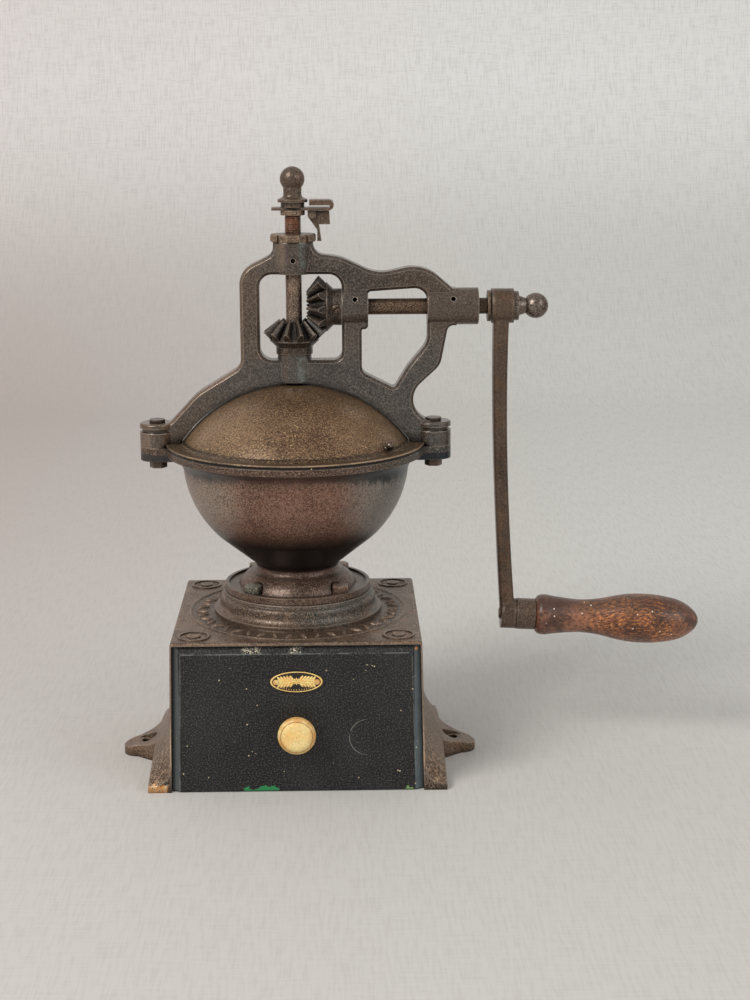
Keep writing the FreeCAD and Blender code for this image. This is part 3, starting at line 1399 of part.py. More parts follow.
def crank_arm():
    """Forged arm with an eye, a gentle S-bend and a boss for the grip's spindle."""
    body = new_body("crank_arm")
    middle = "(eye_start + eye_length / 2 - arm_corner / 4)"
    loft(body, [
        arm_section(body, AXIS, middle, "arm_top_width", "arm_top_depth"),
        arm_section(body, f"{AXIS} - arm_straight_drop", middle, "arm_mid_width", "arm_straight_depth"),
        arm_section(body, f"{AXIS} - arm_bend_drop", f"({middle} + arm_bend_start)", "arm_mid_width",
                    "arm_bend_depth"),
        arm_section(body, GRIP_AXIS, f"({ARM_LOW_X} - arm_corner / 4)", "arm_low_width", "arm_low_depth"),
    ])
    cylinder(body, "eye_radius", "eye_length", "YZ_Plane", (None, AXIS, "eye_start"))
    cylinder(body, "arm_boss_radius", "arm_boss_length", "YZ_Plane",
             (None, f"{GRIP_AXIS} + sin(grip_tilt) * arm_boss_length / 2",
              f"{ARM_LOW_X} - cos(grip_tilt) * arm_boss_length / 2"), rotation=grip_lean())
    cylinder(body, "eye_bore_radius + seat_clear", "eye_length * 3", "YZ_Plane",
             (None, AXIS, "eye_start - eye_length"), cut=True)
    cylinder(body, "spindle_radius + seat_clear", "arm_boss_length * 3", "YZ_Plane",
             (None, f"{GRIP_AXIS} + sin(grip_tilt) * arm_boss_length * 1.5",
              f"{ARM_LOW_X} - cos(grip_tilt) * arm_boss_length * 1.5"), rotation=grip_lean(), cut=True)


def grip_lean():
    """Leans the normal of the cross plane down by the grip's tilt, in that plane's own axes."""
    return Rotation(Vector(1, 0, 0), value("grip_tilt"))


def on_grip(body):
    """Carry a piece drawn along +X from the boss to the leaning grip axis."""
    return seat(body, ARM_LOW_X, None, GRIP_AXIS, Rotation(Vector(0, 1, 0), value("grip_tilt")))


def ball_nut():
    """Ball-ended nut with a flange that clamps the arm's eye."""
    flange = f"({EYE_END} + ball_flange_thick)"
    centre = f"({EYE_END} + ball_reach)"
    round_ball = math.tan((math.pi - math.asin(value("ball_neck_radius / ball_radius"))) / 4)
    body = turned("ball_nut", [
        (EYE_END, "eye_bore_radius + seat_clear"),
        (EYE_END, "ball_flange_radius"),
        (flange, "ball_flange_radius"),
        (flange, "ball_root_radius"),
        (f"{centre} - sqrt(ball_radius * ball_radius - ball_neck_radius * ball_neck_radius)",
         "ball_neck_radius", -round_ball),
        (f"{centre} + ball_radius", "0"),
        (f"{EYE_END} + thread_length + seat_clear", "0"),
        (f"{EYE_END} + thread_length + seat_clear", "eye_bore_radius + seat_clear"),
    ], "H_Axis")
    seat(body, z=AXIS)


FERRULE_START = "(arm_boss_length / 2)"
GRIP_START = f"({FERRULE_START} + ferrule_length + grip_play)"
GRIP_END = f"({GRIP_START} + grip_length)"


def grip_spindle():
    """Rod riveted in the arm's boss, with a round cap that keeps the grip on."""
    start = "(-arm_boss_length / 2)"
    on_grip(turned("grip_spindle", [
        (f"{start} - rivet_height", "0"),
        (f"{start} - rivet_height", "rivet_radius"),
        (start, "spindle_radius"),
        (f"{GRIP_END} + grip_play", "spindle_radius"),
        (f"{GRIP_END} + grip_play", "spindle_cap_radius"),
        (f"{GRIP_END} + grip_play + spindle_cap_thick", "spindle_cap_face"),
        (f"{GRIP_END} + grip_play + spindle_cap_thick", "0"),
    ], "H_Axis"))


def grip_ferrule():
    """Iron collar on the spindle between boss and grip."""
    on_grip(turned("grip_ferrule", [
        (FERRULE_START, "spindle_radius + seat_clear"),
        (FERRULE_START, "ferrule_radius - ferrule_bevel"),
        (f"{FERRULE_START} + ferrule_bevel", "ferrule_radius"),
        (f"{FERRULE_START} + ferrule_length", "ferrule_radius"),
        (f"{FERRULE_START} + ferrule_length", "spindle_radius + seat_clear"),
    ], "H_Axis"))


def wood_grip():
    """Turned wooden grip: bead, waist, belly and rounded end."""
    on_grip(turned("wood_grip", [
        (GRIP_START, "spindle_radius + running_clear"),
        (GRIP_START, "ferrule_radius - grip_play", -0.35),
        (f"{GRIP_START} + grip_bead_length / 2", "grip_bead_radius", -0.12),
        (f"{GRIP_START} + grip_bead_length", "grip_bead_radius - grip_play", 0.02),
        (f"{GRIP_START} + grip_waist_at", "grip_waist_radius", 0.065),
        (f"{GRIP_START} + (grip_waist_at + grip_belly_at) / 2",
         "(grip_waist_radius + grip_belly_radius) / 2", -0.065),
        (f"{GRIP_START} + grip_belly_at", "grip_belly_radius", -0.055),
        (f"{GRIP_START} + grip_shoulder_at", "grip_shoulder_radius", -0.17),
        (GRIP_END, "grip_tip_radius"),
        (GRIP_END, "spindle_radius + running_clear"),
    ], "H_Axis"))


DRAWER_FLOOR = "(rail_height + drawer_clear / 2)"
DRAWER_HALF = "(base_top_width / 2 - base_wall - drawer_clear)"
FRONT_BACK = f"({FRONT} + drawer_front_thick)"
DRAWER_BACK = "(base_depth / 2 - base_wall - drawer_back_gap)"
FRONT_TOP = f"({REBATE_TOP} - drawer_clear)"


def drawer_front():
    """Front panel in the base's rebate, bevelled at the top and sides."""
    body = new_body("drawer_front")
    low = f"{wall_x('drawer_front_rise')} - front_wall - drawer_clear"
    high = f"{wall_x(FRONT_TOP)} - front_wall - drawer_clear"
    extrude(body, "XZ_Plane", [[
        (f"-({low})", "drawer_front_rise"),
        (low, "drawer_front_rise"),
        (high, FRONT_TOP),
        (f"-({high})", FRONT_TOP),
    ]], "drawer_front_thick", shift=f"-({FRONT_BACK})")
    face = value(FRONT)
    bottom = value("drawer_front_rise")
    bevel = dress(body, "Chamfer", "drawer_bevel_depth", lambda box: near(box.YMin, face)
                  and near(box.YMax, face) and box.ZMax > bottom + 1)
    bevel.ChamferType = "Two distances"
    bevel.setExpression("Size2", bound("drawer_bevel"))
    cylinder(body, "knob_screw_radius + seat_clear", "drawer_front_thick * 2", "XZ_Plane",
             (None, "knob_height", f"-({FRONT_BACK}) - drawer_front_thick / 2"), cut=True)
    for side in ("", "-"):
        cylinder(body, "plate_pin_radius + seat_clear", "plate_pin_length", "XZ_Plane",
                 (f"{side}plate_pin_at", "plate_height", f"-({FRONT}) - plate_pin_length + plate_thick"),
                 cut=True)


def board(label, low, high):
    """A plain drawer board between two corners."""
    body = new_body(label)
    box = body.newObject("PartDesign::AdditiveBox", f"{label}_board")
    attach(box, body, "XY_Plane", low)
    for name, start, end in zip(("Length", "Width", "Height"), low, high):
        box.setExpression(name, bound(f"({end}) - ({start})"))


def drawer_boards():
    """Sides, back and bottom of the drawer."""
    wall_low = f"({DRAWER_FLOOR} + drawer_bottom_thick)"
    wall_top = f"({DRAWER_FLOOR} + drawer_side_height)"
    inner = f"({DRAWER_HALF} - drawer_side_thick)"
    board("drawer_left", (f"-{DRAWER_HALF}", FRONT_BACK, wall_low), (f"-{inner}", DRAWER_BACK, wall_top))
    board("drawer_right", (inner, FRONT_BACK, wall_low), (DRAWER_HALF, DRAWER_BACK, wall_top))
    board("drawer_back", (f"-{inner}", f"{DRAWER_BACK} - drawer_side_thick", wall_low),
          (inner, DRAWER_BACK, wall_top))
    board("drawer_bottom", (f"-{DRAWER_HALF}", FRONT_BACK, DRAWER_FLOOR),
          (DRAWER_HALF, DRAWER_BACK, wall_low))


def to_front(body, height):
    """Point a piece drawn along +Z out of the drawer front at a height."""
    return seat(body, None, FRONT, height, Rotation(Vector(1, 0, 0), 90))


def drawer_knob():
    """Turned brass knob with a raised rim round a dished face."""
    to_front(turned("drawer_knob", [
        ("knob_screw_radius + seat_clear", "0"),
        ("knob_foot_radius", "0"),
        ("knob_stem_radius", "knob_foot_reach", -0.15),
        ("knob_neck_radius", "knob_neck_reach"),
        ("knob_radius - knob_rim / 2", "knob_head_reach", 0.3),
        ("knob_radius", "knob_widest_reach", 0.3),
        ("knob_radius - knob_rim / 2", "knob_reach"),
        ("knob_radius - knob_rim", "knob_reach"),
        ("knob_radius - knob_rim * 1.3", "knob_reach - knob_dish", -0.08),
        ("0", "knob_reach - knob_dish / 3"),
        ("0", "knob_head_reach"),
        ("knob_screw_radius + seat_clear", "knob_head_reach"),
    ]), "knob_height")


def knob_screw():
    """Screw from inside the drawer into the knob."""
    back = "(-drawer_front_thick)"
    to_front(turned("knob_screw", [
        ("0", f"{back} - knob_screw_radius"),
        ("knob_screw_head * 0.8", f"{back} - knob_screw_radius"),
        ("knob_screw_head", f"{back} - knob_screw_radius / 2"),
        ("knob_screw_head", back),
        ("knob_screw_radius", back),
        ("knob_screw_radius", "knob_head_reach - seat_clear"),
        ("0", "knob_head_reach - seat_clear"),
    ]), "knob_height")


def oval(inset):
    """Outline of the oval plate, four arcs, drawn in from its edge."""
    across = f"(plate_half_width - {inset}) * 0.8485"
    up = f"(plate_half_height - {inset}) * 0.565"
    return [
        (across, f"-{up}", 0.651),
        (across, up, 0.2114),
        (f"-{across}", up, 0.651),
        (f"-{across}", f"-{up}", 0.2114),
    ]


def oval_plate():
    """Plain oval brass plate on the drawer front, with a stepped edge."""
    body = new_body("oval_plate")
    extrude(body, "XY_Plane", [oval("0")], "plate_edge_thick")
    extrude(body, "XY_Plane", [oval("plate_step")], "plate_thick")
    for side in ("", "-"):
        cylinder(body, "plate_pin_radius + seat_clear", "plate_thick * 4",
                 offset=(f"{side}plate_pin_at", None, "-plate_thick * 2"), cut=True)
    to_front(body, "plate_height")


def plate_pins():
    """Two round-headed pins that hold the oval plate."""
    body = new_body("plate_pins")
    for side in ("", "-"):
        cylinder(body, "plate_pin_radius", "plate_pin_length",
                 offset=(f"{side}plate_pin_at", None, "plate_thick - plate_pin_length"))
        cylinder(body, "plate_pin_cap", "plate_pin_head", offset=(f"{side}plate_pin_at", None, "plate_thick"))
    to_front(body, "plate_height")


def check_and_export():
    """Stop on any failed object or shape, then write one file for each piece."""
    doc.recompute()
    for item in doc.Objects:
        if "Invalid" in item.State or "Error" in item.State:
            raise RuntimeError(f"{item.Label} failed: {item.State}")
    for piece in PIECES:
        if piece.Shape.isNull() or not piece.Shape.isValid():
            raise RuntimeError(f"{piece.Label} has no valid shape")
    os.makedirs("parts", exist_ok=True)
    for piece in PIECES:
        piece.Shape.exportStep(f"parts/{piece.Label}.step")


for build in (
    base_housing, hopper_bowl, bowl_bolts, outer_burr, inner_burr, burr_nut, lid_rear, lid_front, lid_knob,
    bridge_frame, ear_bolts, ear_nuts, drive_gear, gear_screw, driven_gear, gear_key, vertical_shaft,
    adjusting_nut, clamp_collar, pawl_strip, pawl_pin, pawl, finial_knob, crank_shaft, crank_washer,
    crank_arm, ball_nut, grip_spindle, grip_ferrule, wood_grip, drawer_front, drawer_boards, drawer_knob,
    knob_screw, oval_plate, plate_pins,
):
    build()
check_and_export()
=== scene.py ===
"""Looks for the hand crank coffee grinder: aged iron, brass, black drawer front and a turned wooden grip."""
import math

import bmesh
import bpy
from mathutils import Matrix, Vector


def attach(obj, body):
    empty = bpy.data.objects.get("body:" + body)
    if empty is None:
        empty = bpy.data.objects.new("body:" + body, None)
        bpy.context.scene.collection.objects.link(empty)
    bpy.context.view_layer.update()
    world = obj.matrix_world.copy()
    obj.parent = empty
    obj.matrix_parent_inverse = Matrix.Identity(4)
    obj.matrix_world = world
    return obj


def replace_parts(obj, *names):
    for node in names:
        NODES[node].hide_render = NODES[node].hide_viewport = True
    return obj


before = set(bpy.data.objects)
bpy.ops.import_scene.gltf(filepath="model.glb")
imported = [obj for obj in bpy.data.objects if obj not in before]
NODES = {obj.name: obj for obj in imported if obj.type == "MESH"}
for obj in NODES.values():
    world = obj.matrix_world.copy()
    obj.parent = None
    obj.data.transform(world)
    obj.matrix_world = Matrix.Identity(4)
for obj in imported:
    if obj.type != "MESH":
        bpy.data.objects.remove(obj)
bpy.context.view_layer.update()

# Places on the object, in metres
BASE_TOP = 0.096
BASE_FRONT = -0.0738
BASE_WALL = 0.0785
LEAF_CIRCLE = 0.0613
MEDALLION_X = 0.0628
MEDALLION_Y = 0.060
PETAL_CIRCLE = 0.0062
RIM_FOOT = 0.200
RING_TOP = 0.2066
RING_EDGE = 0.0806
DRAWER_CREST = -0.0737
PLATE_FACE = (0.0, -0.0752, 0.0714)
PLATE_HALF = (0.0165, 0.0067)
KNOB_FACE = (0.0, -0.0900, 0.041)
KNOB_LINE = 0.0098
STUB = (0.3364, 0.3477)
STUB_RADIUS = 0.0047
SCREW_PLACE = (0.0259, -0.0114, 0.291)
SCREW_RADIUS = 0.0026
PLUG_PLACE = (0.0372, -0.0575, 0.1776)
GRIP_RINGS = (0.217, 0.0, 0.0876)
SCRATCH = (0.0435, 0.0, 0.035)
SCRATCH_RADIUS = 0.0115
AXIS = (0.0, 0.0, 0.0)

# Lean of the gear screw's slot, and the direction that the bowl's plug looks in
SCREW_LEAN = math.radians(38)
PLUG_OUT = (0.48, -0.74, -0.2)

# Middles of single marks along x and z, the last a painted highlight, in metres
BOWL_CHEEK = (-0.050, 0.179)
LID_PATCH = (0.004, 0.217)
BOSS_HIGHLIGHT = (0.005, 0.252)

# Heights over which a tone comes in, in metres
PLINTH = (0.0972, 0.0985)
PLINTH_STEPS = (0.1, 0.1045)
BOWL_FOOT = (0.1275, 0.1225)
BOWL_NECK = (0.1255, 0.1285)
BOWL_BELLY = (0.176, 0.158)
LID_LOW = (0.214, 0.2085)
LID_CROWN = (0.221, 0.239)
FRAME_ARCH = (0.275, 0.25)
FRAME_NOSE = (0.27, 0.28)
FRAME_HUB = (0.312, 0.32)
STUB_RUST = (0.3355, 0.337)

# Distances from the middle over which the drawer's bevel comes in, in metres
BEVEL_IN, BEVEL_OUT = 0.0715, 0.0725

# Length, width and height of each kind of leaf, in metres
BAND_LEAF = (0.0090, 0.0031, 0.0016)
PETAL = (0.004, 0.0026, 0.0008)
SPRAY_LEAF = (0.0054, 0.0022, 0.0007)
FLOWER_LEAF = (0.0026, 0.0015, 0.0008)
BEAD = (0.0011, 0.0006, 0.0006)

# Samples of the nodes that feel for edges and hollows
FEEL_SAMPLES = 6


def linear(red, green, blue):
    """A colour as seen on a screen, from 0 to 255, as the renderer takes it."""
    return tuple((((part / 255) + 0.055) / 1.055) ** 2.4 if part > 10 else part / 255 / 12.92
                 for part in (red, green, blue)) + (1.0,)


def scaled(tone, share):
    """A tone made darker."""
    return [part * share for part in tone]


class Nodes:
    """Short ways to build a material's node tree."""

    def __init__(self, name):
        self.material = bpy.data.materials.new(name)
        self.material.use_nodes = True
        self.tree = self.material.node_tree
        self.tree.nodes.clear()
        self.shader = self.tree.nodes.new("ShaderNodeBsdfPrincipled")
        output = self.tree.nodes.new("ShaderNodeOutputMaterial")
        self.tree.links.new(self.shader.outputs["BSDF"], output.inputs["Surface"])
        self.place = self.tree.nodes.new("ShaderNodeTexCoord").outputs["Object"]

    def give(self, socket, what):
        """Link a socket or set a constant."""
        if isinstance(what, bpy.types.NodeSocket):
            self.tree.links.new(what, socket)
        else:
            socket.default_value = what

    def noise(self, scale, detail=4.0, rough=0.6, warp=0.0, place=None):
        """Cloudy noise from 0 to 1, with about scale clouds to the metre."""
        node = self.tree.nodes.new("ShaderNodeTexNoise")
        self.give(node.inputs["Vector"], place or self.place)
        node.inputs["Scale"].default_value = scale
        node.inputs["Detail"].default_value = detail
        node.inputs["Roughness"].default_value = rough
        node.inputs["Distortion"].default_value = warp
        return node.outputs["Fac"]

    def spots(self, scale, size, soft):
        """Small separate spots, 1 inside."""
        node = self.tree.nodes.new("ShaderNodeTexVoronoi")
        self.give(node.inputs["Vector"], self.place)
        node.inputs["Scale"].default_value = scale
        return self.ramp(node.outputs["Distance"], size + soft, size)

    def ramp(self, value, low, high):
        """0 at low, 1 at high, smooth between; low may be the larger of the two."""
        node = self.tree.nodes.new("ShaderNodeMapRange")
        node.interpolation_type = "SMOOTHSTEP"
        flipped = low > high
        self.give(node.inputs["Value"], value)
        node.inputs["From Min"].default_value = high if flipped else low
        node.inputs["From Max"].default_value = low if flipped else high
        node.inputs["To Min"].default_value = 1.0 if flipped else 0.0
        node.inputs["To Max"].default_value = 0.0 if flipped else 1.0
        return node.outputs["Result"]

    def span(self, value, low, high):
        """A value from 0 to 1 spread between two limits."""
        node = self.tree.nodes.new("ShaderNodeMapRange")
        self.give(node.inputs["Value"], value)
        node.inputs["To Min"].default_value = low
        node.inputs["To Max"].default_value = high
        return node.outputs["Result"]

    def math(self, kind, first, second=0.0):
        """Arithmetic on two values; products and sums stay between 0 and 1."""
        node = self.tree.nodes.new("ShaderNodeMath")
        node.operation = kind
        node.use_clamp = kind in ("MULTIPLY", "ADD")
        self.give(node.inputs[0], first)
        self.give(node.inputs[1], second)
        return node.outputs[0]

    def all_of(self, *values):
        """The product of several values."""
        product = values[0]
        for value in values[1:]:
            product = self.math("MULTIPLY", product, value)
        return product

    def plus(self, value, other, share):
        """A value with a share of another one added."""
        return self.math("ADD", value, self.math("MULTIPLY", other, share))

    def mix(self, factor, first, second):
        """Blend two colours."""
        node = self.tree.nodes.new("ShaderNodeMix")
        node.data_type = "RGBA"
        self.give(node.inputs[0], factor)
        self.give(node.inputs[6], first)
        self.give(node.inputs[7], second)
        return node.outputs[2]

    def tint(self, colour, tone, *amounts):
        """A colour moved towards a tone, by the product of the amounts."""
        return self.mix(self.all_of(*amounts), colour, linear(*tone))

    def part(self, vector, which):
        """One coordinate of a vector."""
        node = self.tree.nodes.new("ShaderNodeSeparateXYZ")
        self.give(node.inputs[0], vector)
        return node.outputs["XYZ".index(which)]

    def axis(self, which):
        """One coordinate of the place, in metres."""
        return self.part(self.place, which)

    def facing(self):
        """The direction that a face looks in."""
        return self.tree.nodes.new("ShaderNodeNewGeometry").outputs["Normal"]

    def looks(self, which):
        """How far a face looks along one axis, -1 to 1."""
        return self.part(self.facing(), which)

    def stretched(self, scale, shift=(0.0, 0.0, 0.0)):
        """The place, scaled along each axis about a point."""
        node = self.tree.nodes.new("ShaderNodeMapping")
        node.vector_type = "TEXTURE"
        node.inputs["Location"].default_value = shift
        node.inputs["Scale"].default_value = [1 / part for part in scale]
        self.give(node.inputs["Vector"], self.place)
        return node.outputs["Vector"]

    def on_vectors(self, kind, first, second=None):
        """Arithmetic on vectors."""
        node = self.tree.nodes.new("ShaderNodeVectorMath")
        node.operation = kind
        self.give(node.inputs[0], first)
        if second is not None:
            self.give(node.inputs[1], second)
        return node.outputs["Value" if kind in ("LENGTH", "DOT_PRODUCT") else "Vector"]

    def away(self, centre, plane):
        """Distance from a point, measured in a plane such as XY."""
        reach = self.on_vectors("SUBTRACT", self.place, centre)
        flat = self.on_vectors("MULTIPLY", reach, [float(name in plane) for name in "XYZ"])
        return self.on_vectors("LENGTH", flat)

    def near(self, value, target, width, soft):
        """1 within a width of a target value, 0 beyond it."""
        return self.ramp(self.math("ABSOLUTE", self.math("SUBTRACT", value, target)), width + soft, width)

    def rounded(self, radius):
        """The normal with edges rounded over a radius."""
        node = self.tree.nodes.new("ShaderNodeBevel")
        node.samples = FEEL_SAMPLES
        node.inputs["Radius"].default_value = radius
        return node.outputs["Normal"]

    def edges(self, radius, low=0.01, high=0.12):
        """1 along edges, 0 on faces."""
        same = self.on_vectors("DOT_PRODUCT", self.rounded(radius), self.facing())
        return self.ramp(self.math("SUBTRACT", 1.0, same), low, high)

    def openness(self, distance):
        """1 on open faces and outer edges, less in corners and hollows."""
        node = self.tree.nodes.new("ShaderNodeAmbientOcclusion")
        node.samples = FEEL_SAMPLES
        node.inputs["Distance"].default_value = distance
        return node.outputs["AO"]

    def hollows(self, distance, low=0.35, high=0.9):
        """1 in corners and hollows, 0 on open faces."""
        return self.ramp(self.openness(distance), high, low)

    def bump(self, height, depth, strength, normal=None):
        """Surface relief of a depth in metres."""
        node = self.tree.nodes.new("ShaderNodeBump")
        node.inputs["Strength"].default_value = strength
        node.inputs["Distance"].default_value = depth
        self.give(node.inputs["Height"], height)
        if normal:
            self.give(node.inputs["Normal"], normal)
        return node.outputs["Normal"]

    def finish(self, colour, rough, metallic, normal, coat=0.0, specular=0.5):
        """Wire the shader."""
        self.give(self.shader.inputs["Base Color"], colour)
        self.give(self.shader.inputs["Roughness"], rough)
        self.give(self.shader.inputs["Metallic"], metallic)
        self.give(self.shader.inputs["Normal"], normal)
        self.shader.inputs["Coat Weight"].default_value = coat
        self.shader.inputs["Specular IOR Level"].default_value = specular
        return self.material


def aged_iron(name, main, dark, pale, rust, rusty=0.5, bare=(176, 160, 144), wear=0.6, hollow_dirt_and_shade=0.8,
              round_edge=0.0007, coarse=0.00016, metallic=0.4, rough=(0.28, 0.5), speck=0.9, under=None,
              over=None):
    """Old iron: cloudy patina, rust, speckle, bare edges, dirt and painted shade in the hollows, with tones
    under or over the speckle.
    """
    n = Nodes(name)
    clouds = n.noise(24, 6, 0.62, 0.4)
    mottle = n.noise(130, 8, 0.68)
    grain = n.noise(1050, 3, 0.8)
    soot_and_shade = scaled(dark, 0.3)
    colour = n.mix(n.ramp(clouds, 0.36, 0.64), linear(*dark), linear(*main))
    colour = n.tint(colour, rust, n.ramp(mottle, 0.48, 0.66), rusty)
    if under:
        colour = under(n, colour)
    bright = n.all_of(n.ramp(grain, 0.52, 0.61), speck)
    colour = n.mix(bright, colour, n.tint(colour, pale, 0.9))
    colour = n.tint(colour, soot_and_shade, n.ramp(grain, 0.48, 0.38), speck)
    if over:
        colour = over(n, colour)
    open_air = n.openness(0.008)
    colour = n.tint(colour, bare, n.edges(round_edge * 1.5), n.span(mottle, wear * 0.5, wear * 1.4),
                    n.ramp(open_air, 0.75, 0.95))
    # painted shade: corners and hollows are darkened along with dirt, more the more closed in they are
    colour = n.tint(colour, soot_and_shade, n.ramp(open_air, 0.9, 0.35), hollow_dirt_and_shade)
    height = n.plus(n.math("MULTIPLY", grain, 0.6), mottle, 0.4)
    normal = n.bump(height, coarse, 0.7, n.rounded(round_edge))
    return n.finish(colour, n.span(mottle, *rough), metallic, normal)


def bowl_bands(n, colour):
    """Reddish front, blue-grey sides, a pale left cheek, painted shade at the far right edge and a brown rim,
    foot and belly.
    """
    along, height = n.axis("X"), n.axis("Z")
    cloud = n.noise(38, 7, 0.7, 0.6)
    streak = n.noise(95, 6, 0.72, place=n.stretched((1.0, 1.0, 0.35)))
    right = n.all_of(n.ramp(along, 0.022, 0.05), n.span(cloud, 0.45, 1.0))
    colour = n.tint(colour, (136, 145, 140), right, 0.85)
    left = n.all_of(n.ramp(along, -0.032, -0.056), n.span(cloud, 0.4, 1.0))
    colour = n.tint(colour, (116, 116, 110), left, 0.8)
    cheek = n.all_of(n.near(along, BOWL_CHEEK[0], 0.008, 0.018), n.near(height, BOWL_CHEEK[1], 0.006, 0.018))
    colour = n.tint(colour, (172, 160, 142), cheek, n.ramp(n.noise(800, 4, 0.8), 0.42, 0.6), 0.75)
    rim = n.ramp(height, RIM_FOOT - 0.0006, RIM_FOOT + 0.0002)
    colour = n.tint(colour, (66, 51, 41), rim, 0.85)
    # painted shade: the far right side of the bowl is darkened
    far_right_shade = n.ramp(along, 0.052, 0.07)
    colour = n.tint(colour, (62, 68, 68), far_right_shade, 0.7)
    foot = n.ramp(height, *BOWL_FOOT)
    colour = n.tint(colour, (80, 66, 55), foot, 0.75)
    colour = n.tint(colour, (122, 105, 90), foot, n.ramp(streak, 0.46, 0.6), 0.6)
    belly = n.all_of(n.ramp(height, *BOWL_BELLY), n.span(cloud, 0.4, 1.0))
    return n.tint(colour, (74, 52, 44), belly, 0.45)


def bowl_soot(n, colour):
    """Soot that covers the neck and thins out up the belly, and a ragged blue-black band below the rim."""
    along, height = n.axis("X"), n.axis("Z")
    cloud = n.noise(38, 7, 0.7, 0.6)
    ragged = n.plus(height, cloud, 0.012)
    neck = n.all_of(n.ramp(ragged, 0.168, 0.152), n.ramp(height, *BOWL_NECK), n.span(cloud, 0.82, 1.2))
    colour = n.tint(colour, (6, 8, 11), neck, 0.98)
    streak = n.noise(150, 7, 0.78, place=n.stretched((1.0, 1.0, 0.6)))
    sides = n.plus(n.ramp(along, 0.015, 0.06), n.ramp(along, -0.03, -0.06), 0.7)
    torn = n.plus(n.plus(height, streak, 0.02), sides, 0.006)
    band = n.all_of(n.ramp(torn, 0.2015, 0.2075), n.ramp(height, RIM_FOOT + 0.0002, RIM_FOOT - 0.0004))
    return n.tint(colour, (22, 31, 39), band, n.span(sides, 0.55, 0.92))


def lid_patina(n, colour):
    """Pale tan to the left and right, darker towards the top and at the foot, with painted shade on the ring.
    """
    along, height = n.axis("X"), n.axis("Z")
    cloud = n.noise(26, 6, 0.65, 0.4)
    left = n.all_of(n.ramp(along, 0.0, -0.05), n.span(cloud, 0.35, 1.0))
    colour = n.tint(colour, (158, 130, 103), left, 0.7)
    crown = n.all_of(n.ramp(height, *LID_CROWN), n.span(cloud, 0.4, 1.0))
    colour = n.tint(colour, (72, 52, 38), crown, 0.9)
    patch = n.all_of(n.near(along, LID_PATCH[0], 0.01, 0.02), n.near(height, LID_PATCH[1], 0.003, 0.006))
    colour = n.tint(colour, (78, 52, 40), patch, n.ramp(cloud, 0.4, 0.55), 0.7)
    right = n.all_of(n.ramp(along, 0.02, 0.055), n.span(cloud, 0.2, 0.9))
    colour = n.tint(colour, (146, 119, 92), right, 0.5)
    foot = n.ramp(height, *LID_LOW)
    colour = n.tint(colour, (96, 72, 54), foot, 0.45)
    # painted shade on the ring beside the dome
    ring = n.ramp(height, RING_TOP + 0.0024, RING_TOP + 0.0012)
    return n.tint(colour, (58, 43, 33), ring, 0.9)


def lid_edge(n, colour):
    """Pale worn edge with a painted highlight round the front of the ring, a painted shadow for the gap under
    it and a few painted glints.
    """
    height = n.axis("Z")
    outside = n.ramp(n.away(AXIS, "XY"), RING_EDGE - 0.0003, RING_EDGE)
    # painted highlight along the ring's front edge, on top of edge wear
    bright = n.all_of(outside, n.ramp(height, RING_TOP - 0.0007, RING_TOP - 0.0005),
                      n.ramp(n.axis("Y"), 0.0, -0.05))
    colour = n.tint(colour, (178, 150, 120), bright, n.ramp(n.noise(60, 5), 0.34, 0.6))
    # painted shadow of the gap between the ring and the bowl's rim
    gap = n.ramp(height, RING_TOP - 0.0007, RING_TOP - 0.0010)
    colour = n.tint(colour, (14, 12, 11), outside, gap)
    # painted glints
    return n.tint(colour, (240, 206, 150), n.spots(330, 0.1, 0.04), n.ramp(n.noise(60, 2), 0.54, 0.6))


def base_marks(n, colour):
    """Stained top, dirt between the leaves, greyish plinth, worn feet, painted shade on the low front faces,
    bare wall edges and an orange chip.
    """
    along, back, height = n.axis("X"), n.axis("Y"), n.axis("Z")
    aside = n.math("ABSOLUTE", along)
    stain = n.noise(85, 7, 0.72)
    streak = n.noise(420, 6, 0.8, place=n.stretched((1.0, 1.0, 0.6)))
    top = n.near(height, BASE_TOP, 0.0004, 0.0003)
    colour = n.tint(colour, (58, 46, 38), top, n.ramp(stain, 0.5, 0.4), 0.75)
    colour = n.tint(colour, (156, 134, 116), top, n.ramp(stain, 0.54, 0.64), 0.6)
    colour = n.tint(colour, (50, 39, 32), top, n.near(n.away(AXIS, "XY"), LEAF_CIRCLE, 0.0048, 0.0012), 0.7)
    steps = n.ramp(height, *PLINTH_STEPS)
    colour = n.tint(colour, (58, 49, 43), steps, n.ramp(stain, 0.6, 0.42), 0.75)
    plinth = n.ramp(height, *PLINTH)
    colour = n.tint(colour, (94, 84, 78), plinth, 0.4)
    colour = n.tint(colour, (86, 94, 92), plinth, n.ramp(along, -0.012, 0.024),
                    n.ramp(n.noise(60, 6), 0.36, 0.56), 0.7)
    flank = n.all_of(n.ramp(height, 0.075, 0.04), n.ramp(aside, 0.0775, 0.08), n.ramp(aside, 0.096, 0.091),
                     n.ramp(back, -0.03, -0.06))
    colour = n.tint(colour, (60, 49, 41), flank, n.ramp(streak, 0.48, 0.38), 0.7)
    colour = n.tint(colour, (208, 178, 148), flank, n.ramp(streak, 0.51, 0.6), 0.9)
    front = n.ramp(back, BASE_FRONT + 0.0006, BASE_FRONT)
    # painted shade on the low front faces of the feet
    colour = n.tint(colour, (58, 46, 39), front, n.ramp(height, 0.02, 0.012), 0.75)
    wall = n.all_of(front, n.near(aside, BASE_WALL, 0.0008, 0.0003), n.ramp(height, 0.07, 0.045))
    colour = n.tint(colour, (246, 206, 164), wall, n.ramp(height, 0.012, 0.02), n.ramp(streak, 0.34, 0.48))
    torn = n.plus(height, n.noise(210, 4, 0.7), 0.009)
    chip = n.all_of(n.ramp(along, -0.0795, -0.0815), n.ramp(back, -0.066, -0.0715),
                    n.ramp(torn, 0.0094, 0.0086))
    orange = n.mix(n.ramp(streak, 0.44, 0.6), linear(255, 168, 70), linear(255, 232, 190))
    return n.mix(chip, colour, orange)


